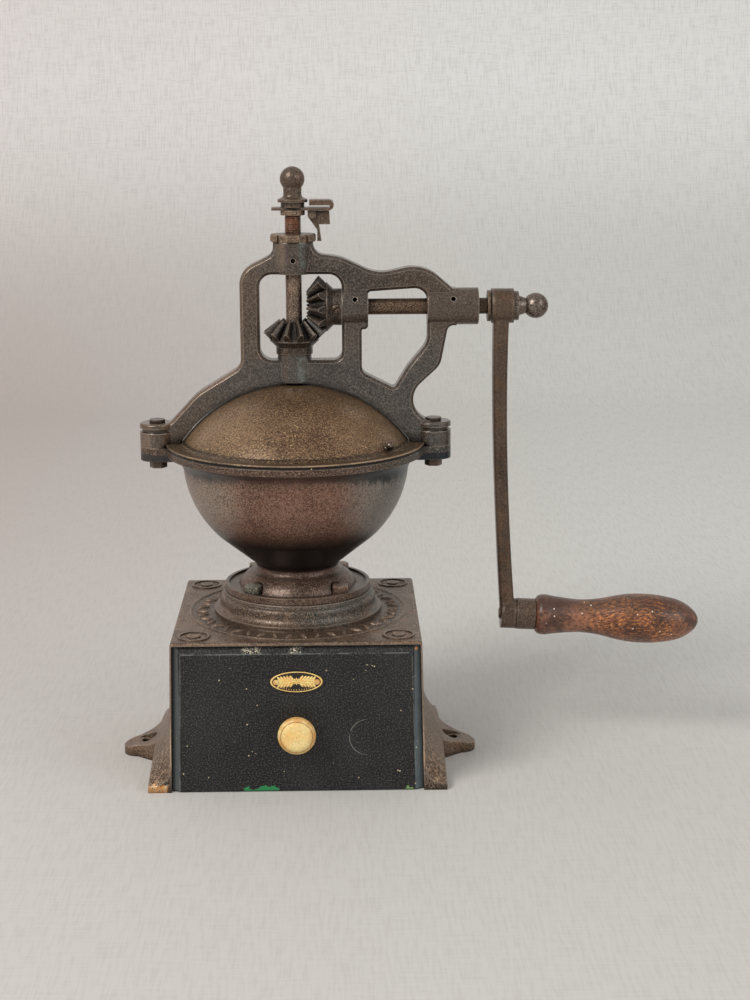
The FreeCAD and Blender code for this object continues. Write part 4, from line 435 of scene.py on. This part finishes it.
def frame_tones(n, colour):
    """Brown sides, left leg and nose, a painted blue-black reflection on the front faces of the arch, a
    painted highlight on the side faces of the left leg, and painted highlights on the hub and boss.
    """
    along, height = n.axis("X"), n.axis("Z")
    cloud = n.noise(30, 6, 0.65, 0.4)
    highlight_breakup = n.ramp(n.noise(150, 5, 0.7), 0.36, 0.62)
    front = n.ramp(n.looks("Y"), -0.9, -0.98)
    left = n.all_of(n.ramp(along, -0.012, -0.028), n.span(cloud, 0.35, 1.0))
    colour = n.tint(colour, (110, 91, 75), left, 0.75)
    # painted reflection: blue-black on the front faces of the lower arch
    arch_reflection = n.all_of(front, n.ramp(height, *FRAME_ARCH), n.span(cloud, 0.4, 1.0),
                    n.span(n.ramp(along, -0.07, -0.035), 0.4, 1.0))
    colour = n.tint(colour, (78, 79, 79), arch_reflection, 0.75)
    # painted highlight: faces on the left that don't look to the front are lit a lighter brown
    colour = n.tint(colour, (136, 114, 99), n.ramp(front, 1.0, 0.0), left, 0.8)
    nose = n.all_of(n.ramp(along, 0.045, 0.075), n.ramp(height, *FRAME_NOSE), n.span(cloud, 0.35, 1.0))
    colour = n.tint(colour, (94, 76, 63), nose, 0.7)
    hub = n.ramp(height, *FRAME_HUB)
    # painted highlights on the hub: brown left of the axis, grey-green right of it
    colour = n.tint(colour, (146, 126, 108), hub, n.near(along, -0.0078, 0.0016, 0.0026), 0.5)
    colour = n.tint(colour, (124, 134, 132), hub, highlight_breakup, n.near(along, 0.006, 0.001, 0.0024), 0.55)
    # painted highlight on the boss under the gear
    boss_highlight = n.all_of(highlight_breakup, n.near(height, BOSS_HIGHLIGHT[1], 0.006, 0.006),
                    n.near(along, BOSS_HIGHLIGHT[0], 0.0012, 0.0036))
    return n.tint(colour, (132, 141, 136), boss_highlight, 0.65)


def bolt_tones(n, colour):
    """Greenish grey on the left bolts, rust on the right ones."""
    along = n.axis("X")
    patch = n.span(n.noise(260, 5, 0.7), 0.4, 1.0)
    colour = n.tint(colour, (112, 120, 104), n.ramp(along, 0.005, -0.005), patch, 0.8)
    return n.tint(colour, (146, 98, 76), n.ramp(along, -0.005, 0.005), patch, 0.8)


def shaft_rust(n, colour):
    """Rust on the threaded stub above the nut."""
    stub = n.ramp(n.axis("Z"), *STUB_RUST)
    return n.tint(colour, (130, 68, 34), stub, n.ramp(n.noise(240, 6), 0.32, 0.56), 0.9)


def old_brass(name, tone, tarnish, shine=0.42, metallic=0.35, spots=0.5, line=None):
    """Worn brass with dull patches, a fine speckle and, if line is given, a brown line in a tarnished rim."""
    n = Nodes(name)
    patch = n.noise(160, 6, 0.65)
    fine = n.noise(1300, 4, 0.7)
    colour = n.mix(n.ramp(patch, 0.4, 0.68), linear(*tone), linear(*tarnish))
    colour = n.tint(colour, scaled(tarnish, 0.62), n.ramp(fine, 0.5, 0.34), spots)
    colour = n.tint(colour, (104, 72, 36), n.hollows(0.0016), 0.8)
    if line:
        centre, plane, radius = line
        out = n.away(centre, plane)
        rim = n.ramp(out, radius * 0.8, radius * 1.1)
        colour = n.tint(colour, (212, 152, 84), rim, n.ramp(patch, 0.36, 0.54), 0.7)
        colour = n.tint(colour, (150, 104, 54), n.near(out, radius, 0.0002, 0.0003), 0.6)
    normal = n.bump(fine, 0.00007, 0.7, n.rounded(0.0003))
    return n.finish(colour, n.span(patch, shine, shine + 0.2), metallic, normal)


def drawer_black():
    """Black lacquer on wood: speckle, pale flecks, one curved scratch, worn bevels, green paint below."""
    n = Nodes("drawer_black")
    along, back, height = n.axis("X"), n.axis("Y"), n.axis("Z")
    haze = n.noise(26, 6, 0.6)
    fine = n.noise(1000, 3, 0.8)
    colour = n.mix(n.ramp(haze, 0.35, 0.7), linear(16, 16, 17), linear(32, 32, 32))
    colour = n.tint(colour, (98, 95, 94), n.ramp(fine, 0.5, 0.62), 0.62)
    bevel = n.ramp(back, DRAWER_CREST - 0.0002, DRAWER_CREST)
    colour = n.tint(colour, (92, 96, 98), bevel, n.ramp(along, -BEVEL_IN, -BEVEL_OUT), 0.7)
    right = n.all_of(bevel, n.ramp(along, BEVEL_IN, BEVEL_OUT))
    colour = n.tint(colour, (112, 124, 128), right, n.span(n.noise(120, 6), 0.3, 0.9))
    crest = n.near(back, DRAWER_CREST, 0.0001, 0.0001)
    colour = n.tint(colour, (140, 146, 142), crest, n.ramp(n.noise(140, 5), 0.4, 0.56), 0.4)
    colour = n.tint(colour, (222, 204, 168), n.spots(230, 0.085, 0.03), n.ramp(n.noise(120, 2), 0.56, 0.62))
    top_bevel = n.all_of(bevel, n.ramp(height, 0.0885, 0.0895), n.ramp(back, -0.0712, -0.072))
    for middle, width in ((-0.027, 0.004), (-0.001, 0.002)):
        dabs = n.near(along, middle, width, 0.003)
        colour = n.tint(colour, (212, 204, 180), top_bevel, dabs, n.ramp(fine, 0.5, 0.58))
    arc = n.near(n.away(SCRATCH, "XZ"), SCRATCH_RADIUS, 0.00012, 0.0002)
    colour = n.tint(colour, (140, 136, 128), arc, n.ramp(along, 0.046, 0.036),
                    n.ramp(n.noise(300, 3), 0.36, 0.5), 0.7)
    corner = n.all_of(n.ramp(along, 0.0705, 0.0725), n.ramp(height, 0.0895, 0.091))
    colour = n.tint(colour, (214, 140, 78), corner, n.ramp(n.noise(420, 3), 0.5, 0.56))
    blot = n.plus(height, n.noise(190, 2, 0.6), 0.012)
    smear = n.near(along, -0.0225, 0.0105, 0.0006)
    colour = n.tint(colour, (44, 132, 78), smear, n.ramp(blot, 0.0092, 0.0088))
    dab = n.near(along, 0.0685, 0.0025, 0.0008)
    colour = n.tint(colour, (124, 158, 96), dab, n.ramp(blot, 0.0082, 0.0076))
    normal = n.bump(fine, 0.0001, 0.7, n.rounded(0.00025))
    return n.finish(colour, n.span(haze, 0.42, 0.58), 0.0, normal, specular=0.35)


def grip_wood():
    """Turned hardwood: dark reddish varnish with orange flecked growth rings in the middle, a painted dull
    sheen on the upward faces and painted shade in the hollows.
    """
    n = Nodes("grip_wood")
    rings = n.tree.nodes.new("ShaderNodeTexWave")
    rings.wave_type = "RINGS"
    rings.rings_direction = "Y"
    n.give(rings.inputs["Vector"], n.stretched((0.42, 1.0, 1.0), GRIP_RINGS))
    rings.inputs["Scale"].default_value = 170
    rings.inputs["Distortion"].default_value = 7.0
    rings.inputs["Detail"].default_value = 4.0
    rings.inputs["Detail Scale"].default_value = 3.0
    flecks = n.noise(780, 4, 0.72, place=n.stretched((0.55, 1.0, 1.0)))
    worn = n.noise(46, 6, 0.68, 0.5)
    patch = n.ramp(worn, 0.4, 0.6)
    across = n.math("ABSOLUTE", n.math("SUBTRACT", n.axis("X"), GRIP_RINGS[0]))
    middle = n.all_of(n.ramp(across, 0.042, 0.012), n.span(patch, 0.35, 1.0))
    colour = n.mix(patch, linear(84, 53, 41), linear(150, 101, 76))
    colour = n.tint(colour, (134, 74, 32), middle, 0.6)
    band = n.all_of(n.ramp(rings.outputs["Fac"], 0.5, 0.9), n.ramp(flecks, 0.47, 0.57), middle)
    colour = n.tint(colour, (232, 150, 74), band, 0.95)
    colour = n.tint(colour, (38, 24, 18), n.ramp(flecks, 0.5, 0.4), 0.8)
    # painted sheen: upward faces turn a dull grey-brown
    colour = n.tint(colour, (72, 54, 43), n.ramp(n.looks("Z"), 0.25, 0.8), n.ramp(worn, 0.3, 0.5), 0.6)
    colour = n.tint(colour, (232, 212, 190), n.spots(190, 0.08, 0.03), n.ramp(n.noise(90, 2), 0.48, 0.54))
    # painted shade in the grip's hollows
    colour = n.tint(colour, (36, 23, 17), n.hollows(0.004), 0.7)
    height = n.plus(n.math("MULTIPLY", flecks, 0.6), worn, 0.3)
    return n.finish(colour, n.span(worn, 0.3, 0.5), 0.0, n.bump(height, 0.0002, 0.7), coat=0.15)


def plain_wood():
    """Raw drawer boards with straight grain and painted shade in the corners."""
    n = Nodes("drawer_wood")
    grain = n.noise(260, 6, 0.65, 1.2, n.stretched((1.0, 0.08, 0.8)))
    stain = n.noise(20, 5, 0.6)
    colour = n.mix(n.ramp(grain, 0.35, 0.7), linear(126, 92, 60), linear(176, 138, 96))
    colour = n.tint(colour, (86, 60, 40), n.ramp(stain, 0.5, 0.75), 0.5)
    # painted shade in the corners of the drawer box
    colour = n.tint(colour, (50, 34, 22), n.hollows(0.02), 0.6)
    return n.finish(colour, n.span(grain, 0.6, 0.8), 0.0, n.bump(grain, 0.0003, 0.6))


def enamel():
    """Black enamel field of the oval plate, worn to brass in places."""
    n = Nodes("plate_enamel")
    worn = n.ramp(n.noise(520, 5, 0.7), 0.58, 0.68)
    colour = n.tint(linear(34, 31, 28), (196, 146, 76), worn, 0.6)
    return n.finish(colour, 0.5, 0.1, n.bump(worn, 0.00005, 0.6))


# Irons: main tone, dark clouds, pale specks, rust and how rusty
# The frame's pale edges stand for worn paint and also for a painted highlight along its chamfers and window
# edges
FRAME_IRON = aged_iron("frame_iron", (98, 89, 82), (74, 66, 60), (144, 133, 123), (92, 74, 62), 0.3, wear=1.0,
                       metallic=0.5, rough=(0.17, 0.34), speck=0.55, hollow_dirt_and_shade=0.95, under=frame_tones)
BASE_IRON = aged_iron("base_iron", (122, 98, 79), (88, 69, 54), (166, 142, 120), (122, 88, 66), 0.45,
                      round_edge=0.0016, under=base_marks)
LEAF_IRON = aged_iron("leaf_iron", (146, 122, 104), (112, 92, 77), (176, 156, 138), (132, 98, 76), 0.3,
                      wear=0.9)
BOWL_IRON = aged_iron("bowl_iron", (132, 94, 78), (106, 74, 61), (164, 138, 120), (132, 86, 66), 0.5,
                      wear=0.3, speck=0.8, rough=(0.24, 0.44), under=bowl_bands, over=bowl_soot)
LID_IRON = aged_iron("lid_iron", (132, 102, 76), (104, 78, 57), (188, 158, 118), (120, 84, 58), 0.5, wear=0.4,
                     speck=0.8, rough=(0.22, 0.42), under=lid_patina, over=lid_edge)
GEAR_IRON = aged_iron("gear_iron", (80, 69, 60), (44, 37, 31), (126, 111, 97), (98, 70, 50), 0.35, wear=0.8,
                      hollow_dirt_and_shade=0.95, rough=(0.24, 0.46))
ARM_IRON = aged_iron("arm_iron", (99, 82, 69), (70, 57, 47), (146, 127, 111), (106, 76, 57), 0.5, speck=0.6,
                     rough=(0.22, 0.42), hollow_dirt_and_shade=0.95)
BOLT_IRON = aged_iron("bolt_iron", (112, 96, 82), (74, 62, 53), (206, 192, 172), (128, 86, 62), 0.5,
                      hollow_dirt_and_shade=0.6, under=bolt_tones)
CRANK_IRON = aged_iron("crank_iron", (98, 80, 66), (66, 53, 43), (138, 119, 103), (106, 74, 53), 0.5,
                       round_edge=0.003, wear=0.2, metallic=0.5, rough=(0.2, 0.38), speck=0.4)
BALL_STEEL = aged_iron("ball_steel", (116, 102, 92), (78, 65, 56), (184, 174, 164), (106, 79, 60), 0.4,
                       metallic=0.7, rough=(0.18, 0.36), speck=0.6)
STEEL = aged_iron("shaft_steel", (112, 88, 69), (74, 57, 43), (152, 131, 110), (112, 78, 54), 0.45,
                  metallic=0.55, rough=(0.24, 0.46), coarse=0.0001)
NUT_IRON = aged_iron("nut_steel", (132, 108, 88), (92, 72, 56), (176, 154, 132), (128, 86, 58), 0.5,
                     metallic=0.5)
SPINDLE = aged_iron("spindle_steel", (146, 124, 107), (100, 82, 68), (184, 164, 146), (124, 92, 70), 0.4,
                    metallic=0.5, rough=(0.26, 0.48), coarse=0.0001, under=shaft_rust)
RUST = aged_iron("stub_rust", (134, 72, 38), (84, 48, 30), (156, 104, 66), (156, 82, 38), 0.6, metallic=0.2)
BURR = aged_iron("burr_iron", (100, 92, 86), (60, 54, 49), (150, 142, 134), (96, 70, 54), 0.3, metallic=0.5)

# Brass, enamel, lacquer and wood
BRASS = old_brass("knob_brass", (255, 228, 158), (255, 208, 128), metallic=0.1, spots=0.6,
                  line=(KNOB_FACE, "XZ", KNOB_LINE))
GILT = old_brass("plate_gilt", (255, 224, 142), (252, 202, 116), shine=0.36, metallic=0.15)
ENAMEL = enamel()
DRAWER_BLACK = drawer_black()
GRIP_WOOD = grip_wood()
DRAWER_WOOD = plain_wood()

FINISHES = {
    "base_housing": BASE_IRON, "hopper_bowl": BOWL_IRON, "bowl_bolts": BOLT_IRON, "outer_burr": BURR,
    "bridge_frame": FRAME_IRON, "ear_bolts": ARM_IRON, "ear_nuts": ARM_IRON, "lid_rear": LID_IRON,
    "lid_front": LID_IRON, "lid_knob": BALL_STEEL, "crank_shaft": STEEL, "drive_gear": GEAR_IRON,
    "driven_gear": GEAR_IRON, "gear_screw": STEEL, "crank_washer": STEEL, "crank_arm": CRANK_IRON,
    "ball_nut": BALL_STEEL, "grip_spindle": STEEL, "grip_ferrule": ARM_IRON, "wood_grip": GRIP_WOOD,
    "gear_key": STEEL, "adjusting_nut": NUT_IRON, "vertical_shaft": SPINDLE, "inner_burr": BURR,
    "burr_nut": STEEL, "clamp_collar": NUT_IRON, "pawl_strip": ARM_IRON, "pawl_pin": STEEL, "pawl": ARM_IRON,
    "finial_knob": ARM_IRON, "drawer_front": DRAWER_BLACK, "drawer_left": DRAWER_WOOD,
    "drawer_right": DRAWER_WOOD, "drawer_back": DRAWER_WOOD, "drawer_bottom": DRAWER_WOOD,
    "drawer_knob": BRASS, "knob_screw": STEEL, "oval_plate": ENAMEL, "plate_pins": BRASS,
}


def dress_nodes():
    """Give every CAD node its material."""
    for name, material in FINISHES.items():
        mesh = NODES[name].data
        mesh.materials.clear()
        mesh.materials.append(material)


def add_piece(name, material, body, build):
    """A dressed detail that moves with a body."""
    mesh = bpy.data.meshes.new(name)
    shape = bmesh.new()
    build(shape)
    bmesh.ops.recalc_face_normals(shape, faces=shape.faces[:])
    shape.to_mesh(mesh)
    shape.free()
    mesh.materials.append(material)
    for face in mesh.polygons:
        face.use_smooth = True
    piece = bpy.data.objects.new(name, mesh)
    bpy.context.collection.objects.link(piece)
    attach(piece, body)
    return piece


def grid_faces(shape, rows, closed=False):
    """Faces between equal rows of vertices, joined round at the ends if closed."""
    for first, second in zip(rows, rows[1:]):
        count = len(first)
        for index in range(count if closed else count - 1):
            after = (index + 1) % count
            shape.faces.new((first[index], first[after], second[after], second[index]))


def turned_form(shape, middle, out, across, up, outline, steps):
    """Rings round a middle, from an outline of radius and rise along out."""
    rows = []
    for radius, rise in outline:
        row = []
        for step in range(steps):
            turn = 2 * math.pi * step / steps
            side = across * math.cos(turn) + up * math.sin(turn)
            row.append(shape.verts.new(middle + out * rise + side * radius))
        rows.append(row)
    grid_faces(shape, rows, closed=True)


def leaf(shape, centre, along, normal, size, sunk=0.0003):
    """A raised pointed leaf with a soft ridge, sunk a little into the face that carries it."""
    length, width, height = size
    along = Vector(along).normalized()
    normal = Vector(normal).normalized()
    across = normal.cross(along)
    tip = 0.00002
    steps, sides = 8, 6
    rows = []
    for step in range(steps + 1):
        run = 2 * step / steps - 1
        spread = width / 2 * (1 - run * run) ** 0.75 + tip
        row = []
        for side in range(sides + 1):
            reach = 2 * side / sides - 1
            rise = height * (1 - run * run) ** 0.5 * (1 - reach * reach) - sunk
            place = Vector(centre) + along * run * length / 2 + across * reach * spread + normal * rise
            row.append(shape.verts.new(place))
        rows.append(row)
    grid_faces(shape, rows)


def ornament_band(shape):
    """Ring of leaves on the base top that lean in turn to one side and the other."""
    count, tilt = 44, 24
    for number in range(count):
        angle = math.radians(360 * (number + 0.5) / count)
        lean = math.radians(tilt if number % 2 else -tilt)
        centre = (LEAF_CIRCLE * math.cos(angle), LEAF_CIRCLE * math.sin(angle), BASE_TOP)
        along = (math.cos(angle + lean), math.sin(angle + lean), 0)
        leaf(shape, centre, along, (0, 0, 1), BAND_LEAF)


def corner_rosettes(shape):
    """Six petals inside each corner medallion's ring."""
    petals = 6
    for corner_x in (-MEDALLION_X, MEDALLION_X):
        for corner_y in (-MEDALLION_Y, MEDALLION_Y):
            for number in range(petals):
                angle = math.radians(360 * number / petals)
                along = Vector((math.cos(angle), math.sin(angle), 0))
                centre = Vector((corner_x, corner_y, BASE_TOP)) + along * PETAL_CIRCLE
                leaf(shape, centre, along, (0, 0, 1), PETAL)


def stub_thread(shape):
    """Ridge that winds up the threaded stub."""
    pitch, crest, foot = 0.00125, 0.00045, 0.0001
    outline = ((-foot, -0.42), (crest, -0.08), (crest, 0.08), (-foot, 0.42))
    bottom, top = STUB
    turns = (top - bottom - pitch) / pitch
    steps = int(turns * 28)
    rows = []
    for step in range(steps + 1):
        angle = 2 * math.pi * turns * step / steps
        height = bottom + pitch / 2 + pitch * turns * step / steps
        row = []
        for reach, rise in outline:
            radius = STUB_RADIUS + reach
            place = (radius * math.cos(angle), radius * math.sin(angle), height + rise * pitch)
            row.append(shape.verts.new(place))
        rows.append(row)
    grid_faces(shape, rows)


def screw_point(shape, across, up, out):
    """A vertex on the gear screw, turned so that its slot stands askew."""
    x = across * math.cos(SCREW_LEAN) - up * math.sin(SCREW_LEAN)
    z = across * math.sin(SCREW_LEAN) + up * math.cos(SCREW_LEAN)
    return shape.verts.new((SCREW_PLACE[0] + x, SCREW_PLACE[1] - out, SCREW_PLACE[2] + z))


def slotted_screw(shape):
    """Screw head with a slot, lying in the gear's hub."""
    slot, stand, depth = 0.0006, 0.0009, 0.0008
    outline = ((0.003, 1.0), (0.0002, 1.0), (0.0, 0.94))
    start = math.asin(slot / SCREW_RADIUS)
    steps = 14
    for side in (-1, 1):
        rim = []
        for step in range(steps + 1):
            angle = start + (math.pi - 2 * start) * step / steps
            rim.append((SCREW_RADIUS * math.cos(angle), side * SCREW_RADIUS * math.sin(angle)))
        rows = []
        for drop, scale in outline:
            rows.append([screw_point(shape, x * scale, max(abs(y) * scale, slot) * side, stand - drop)
                         for x, y in rim])
        grid_faces(shape, rows, closed=True)
        shape.faces.new(rows[-1])
    corners = ((-SCREW_RADIUS, -slot), (SCREW_RADIUS, -slot), (SCREW_RADIUS, slot), (-SCREW_RADIUS, slot))
    shape.faces.new([screw_point(shape, x, y, stand - depth) for x, y in corners])


def on_plate(across, up, out=0.0):
    """A point on the oval plate's face, from shares of its half width and height."""
    return Vector(PLATE_FACE) + Vector((across * PLATE_HALF[0], -out, up * PLATE_HALF[1]))


def plate_ray(degrees, side=1):
    """A direction in the plate's plane, mirrored where side is -1."""
    return Vector((side * math.cos(math.radians(degrees)), 0, math.sin(math.radians(degrees))))


def plate_relief(shape):
    """Gilt edge line, two sprays of leaves that meet at a flower, and a row of beads below."""
    toward = (0, -1, 0)
    line = ((0.97, -0.0002), (0.955, 0.00035), (0.9, 0.00035), (0.885, -0.0002))
    steps = 64
    rows = []
    for step in range(steps):
        angle = 2 * math.pi * step / steps
        row = []
        for share, out in line:
            row.append(shape.verts.new(on_plate(share * math.cos(angle), share * math.sin(angle), out)))
        rows.append(row)
    grid_faces(shape, rows + rows[:1])
    stems, start, gap, high, drop, reach = 5, 0.1, 0.115, 0.05, 0.02, 0.0021
    for side in (-1, 1):
        for number in range(stems):
            stem = on_plate(side * (start + gap * number), high - drop * number)
            for lean in (56, 18, -18, -56):
                along = plate_ray(lean, side)
                leaf(shape, stem + along * reach, along, toward, SPRAY_LEAF)
    flower, petals, reach = on_plate(0, high), 8, 0.0012
    for number in range(petals):
        along = plate_ray(360 / petals * number)
        leaf(shape, flower + along * reach, along, toward, FLOWER_LEAF)
    beads, share, first, sweep = 17, 0.77, 212, 116
    for number in range(beads):
        angle = math.radians(first + sweep * number / (beads - 1))
        place = on_plate(share * math.cos(angle), share * math.sin(angle))
        leaf(shape, place, (0, 0, 1), toward, BEAD)


def bowl_plug(shape):
    """Small round plug in the side of the bowl."""
    outline = ((0.0021, -0.001), (0.0021, 0.0004), (0.0015, 0.0006), (0.0013, 0.0002), (0.0002, 0.0002))
    out = Vector(PLUG_OUT).normalized()
    across = out.orthogonal().normalized()
    turned_form(shape, Vector(PLUG_PLACE), out, across, out.cross(across), outline, 20)


def knob_face(shape):
    """Slightly domed face that fills the knob's dish."""
    outline = ((0.0099, -0.0004), (0.0098, 0.0001), (0.0066, 0.00025), (0.0033, 0.0004), (0.0002, 0.0004))
    out, across, up = Vector((0, -1, 0)), Vector((1, 0, 0)), Vector((0, 0, 1))
    turned_form(shape, Vector(KNOB_FACE), out, across, up, outline, 40)


def lid_foot(shape):
    """Low flare on the fixed ring that hides the gap under the turning half of the lid."""
    outline = ((0.0757, -0.0002), (0.0738, 0.0003), (0.0724, 0.0009), (0.0715, 0.0018), (0.0713, -0.0002))
    first, sweep, steps = 192, 156, 96
    rows = []
    for step in range(steps + 1):
        turn = math.radians(first + sweep * step / steps)
        row = []
        for radius, rise in outline:
            row.append(shape.verts.new((radius * math.cos(turn), radius * math.sin(turn), RING_TOP + rise)))
        rows.append(row)
    grid_faces(shape, rows)


# Camera: place and aim of the photograph, for a frame of 750 by 1000
FOCAL_PIXELS = 1850.14
FRAME_PIXELS = 1000
CAMERA_PLACE = Vector((0.04987, -1.14896, 0.42831))
CAMERA_PITCH = 12.78
CAMERA_ROLL = 0.26
CAMERA_YAW = 1.2

# Lamps: name, place, size in metres, power in watts and colour
LAMPS = (
    ("key", (-1.5, -1.5, 1.9), 1.2, 44, (1.0, 0.98, 0.95)),
    ("fill", (1.7, -1.3, 1.1), 1.4, 10, (0.97, 0.98, 1.0)),
)
LAMP_AIM = (0.0, 0.0, 0.2)
WORLD_COLOUR = (1.0, 0.985, 0.965, 1.0)
WORLD_STRENGTH = 0.5


def add_camera():
    """Camera at the photograph's view."""
    data = bpy.data.cameras.new("camera")
    data.sensor_width = 36.0
    data.lens = FOCAL_PIXELS / FRAME_PIXELS * data.sensor_width
    data.clip_start = 0.01
    camera = bpy.data.objects.new("camera", data)
    turn = Matrix.Rotation(math.radians(-CAMERA_YAW), 4, "Z")
    tilt = Matrix.Rotation(math.radians(90 - CAMERA_PITCH), 4, "X")
    roll = Matrix.Rotation(math.radians(-CAMERA_ROLL), 4, "Z")
    camera.matrix_world = turn @ Matrix.Translation(CAMERA_PLACE) @ tilt @ roll
    bpy.context.collection.objects.link(camera)
    bpy.context.scene.camera = camera


def add_lamp(name, place, size, power, colour):
    """A soft square lamp aimed at the object."""
    data = bpy.data.lights.new(name, "AREA")
    data.size = size
    data.energy = power
    data.color = colour
    lamp = bpy.data.objects.new(name, data)
    lamp.location = place
    lamp.rotation_euler = (Vector(LAMP_AIM) - Vector(place)).to_track_quat("-Z", "Y").to_euler()
    bpy.context.collection.objects.link(lamp)


def floor_cloth():
    """Pale woven cloth, greyer on the ground, with painted light keeping the upright part paler and painted
    shade where it turns up behind the object.
    """
    n = Nodes("floor_cloth")
    along, back, height = n.axis("X"), n.axis("Y"), n.axis("Z")
    warp = n.noise(1.0, 3, 0.6, place=n.stretched((520, 40, 40)))
    weft = n.noise(1.0, 3, 0.6, place=n.stretched((40, 520, 520)))
    weave = n.plus(n.math("MULTIPLY", warp, 0.6), weft, 0.4)
    side = n.ramp(along, -0.6, 0.5)
    wall = n.mix(side, linear(243, 239, 238), linear(244, 245, 243))
    ground = n.mix(side, linear(210, 205, 201), linear(207, 206, 202))
    # painted light: the upright part of the cloth is kept paler than the ground, away from the lamps
    cloth = n.mix(n.ramp(height, 0.04, 0.46), ground, wall)
    # painted shade where the cloth turns up behind the object, darker to the left
    turn_up_shade = n.all_of(n.ramp(back, -0.1, 0.6), n.ramp(height, 0.3, -0.02), 0.8)
    cloth = n.mix(turn_up_shade, cloth, n.mix(side, linear(196, 184, 180), linear(224, 225, 221)))
    cloth = n.tint(cloth, (180, 175, 171), n.ramp(weave, 0.56, 0.36), 0.28)
    return n.finish(cloth, 0.9, 0.0, n.bump(weave, 0.0002, 0.3), specular=0.2)


def add_backdrop():
    """Pale floor that sweeps up behind the object."""
    front, back, bend, top, half = -8.0, 1.25, 0.55, 3.2, 8.0
    profile = [(front, 0.0), (back, 0.0)]
    steps = 16
    for step in range(1, steps + 1):
        angle = math.radians(90 * step / steps)
        profile.append((back + bend * math.sin(angle), bend * (1 - math.cos(angle))))
    profile.append((back + bend, top))
    mesh = bpy.data.meshes.new("floor")
    points = [(side * half, y, z) for y, z in profile for side in (-1, 1)]
    faces = [(2 * row, 2 * row + 1, 2 * row + 3, 2 * row + 2) for row in range(len(profile) - 1)]
    mesh.from_pydata(points, [], faces)
    for face in mesh.polygons:
        face.use_smooth = True
    mesh.materials.append(floor_cloth())
    floor = bpy.data.objects.new("floor", mesh)
    bpy.context.collection.objects.link(floor)


def add_world():
    """Even pale surroundings."""
    world = bpy.data.worlds.new("studio")
    world.use_nodes = True
    background = world.node_tree.nodes["Background"]
    background.inputs["Color"].default_value = WORLD_COLOUR
    background.inputs["Strength"].default_value = WORLD_STRENGTH
    bpy.context.scene.world = world


dress_nodes()
add_piece("knob_face", BRASS, "drawer", knob_face)
add_piece("lid_foot", LID_IRON, "base", lid_foot)
add_piece("ornament_band", LEAF_IRON, "base", ornament_band)
add_piece("corner_rosettes", LEAF_IRON, "base", corner_rosettes)
add_piece("stub_thread", RUST, "shaft", stub_thread)
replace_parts(add_piece("slotted_screw", STEEL, "crank", slotted_screw), "gear_screw")
add_piece("plate_relief", GILT, "drawer", plate_relief)
add_piece("bowl_plug", BOWL_IRON, "base", bowl_plug)

add_camera()
for lamp_values in LAMPS:
    add_lamp(*lamp_values)
add_backdrop()
add_world()

bpy.context.scene.view_settings.view_transform = "Standard"
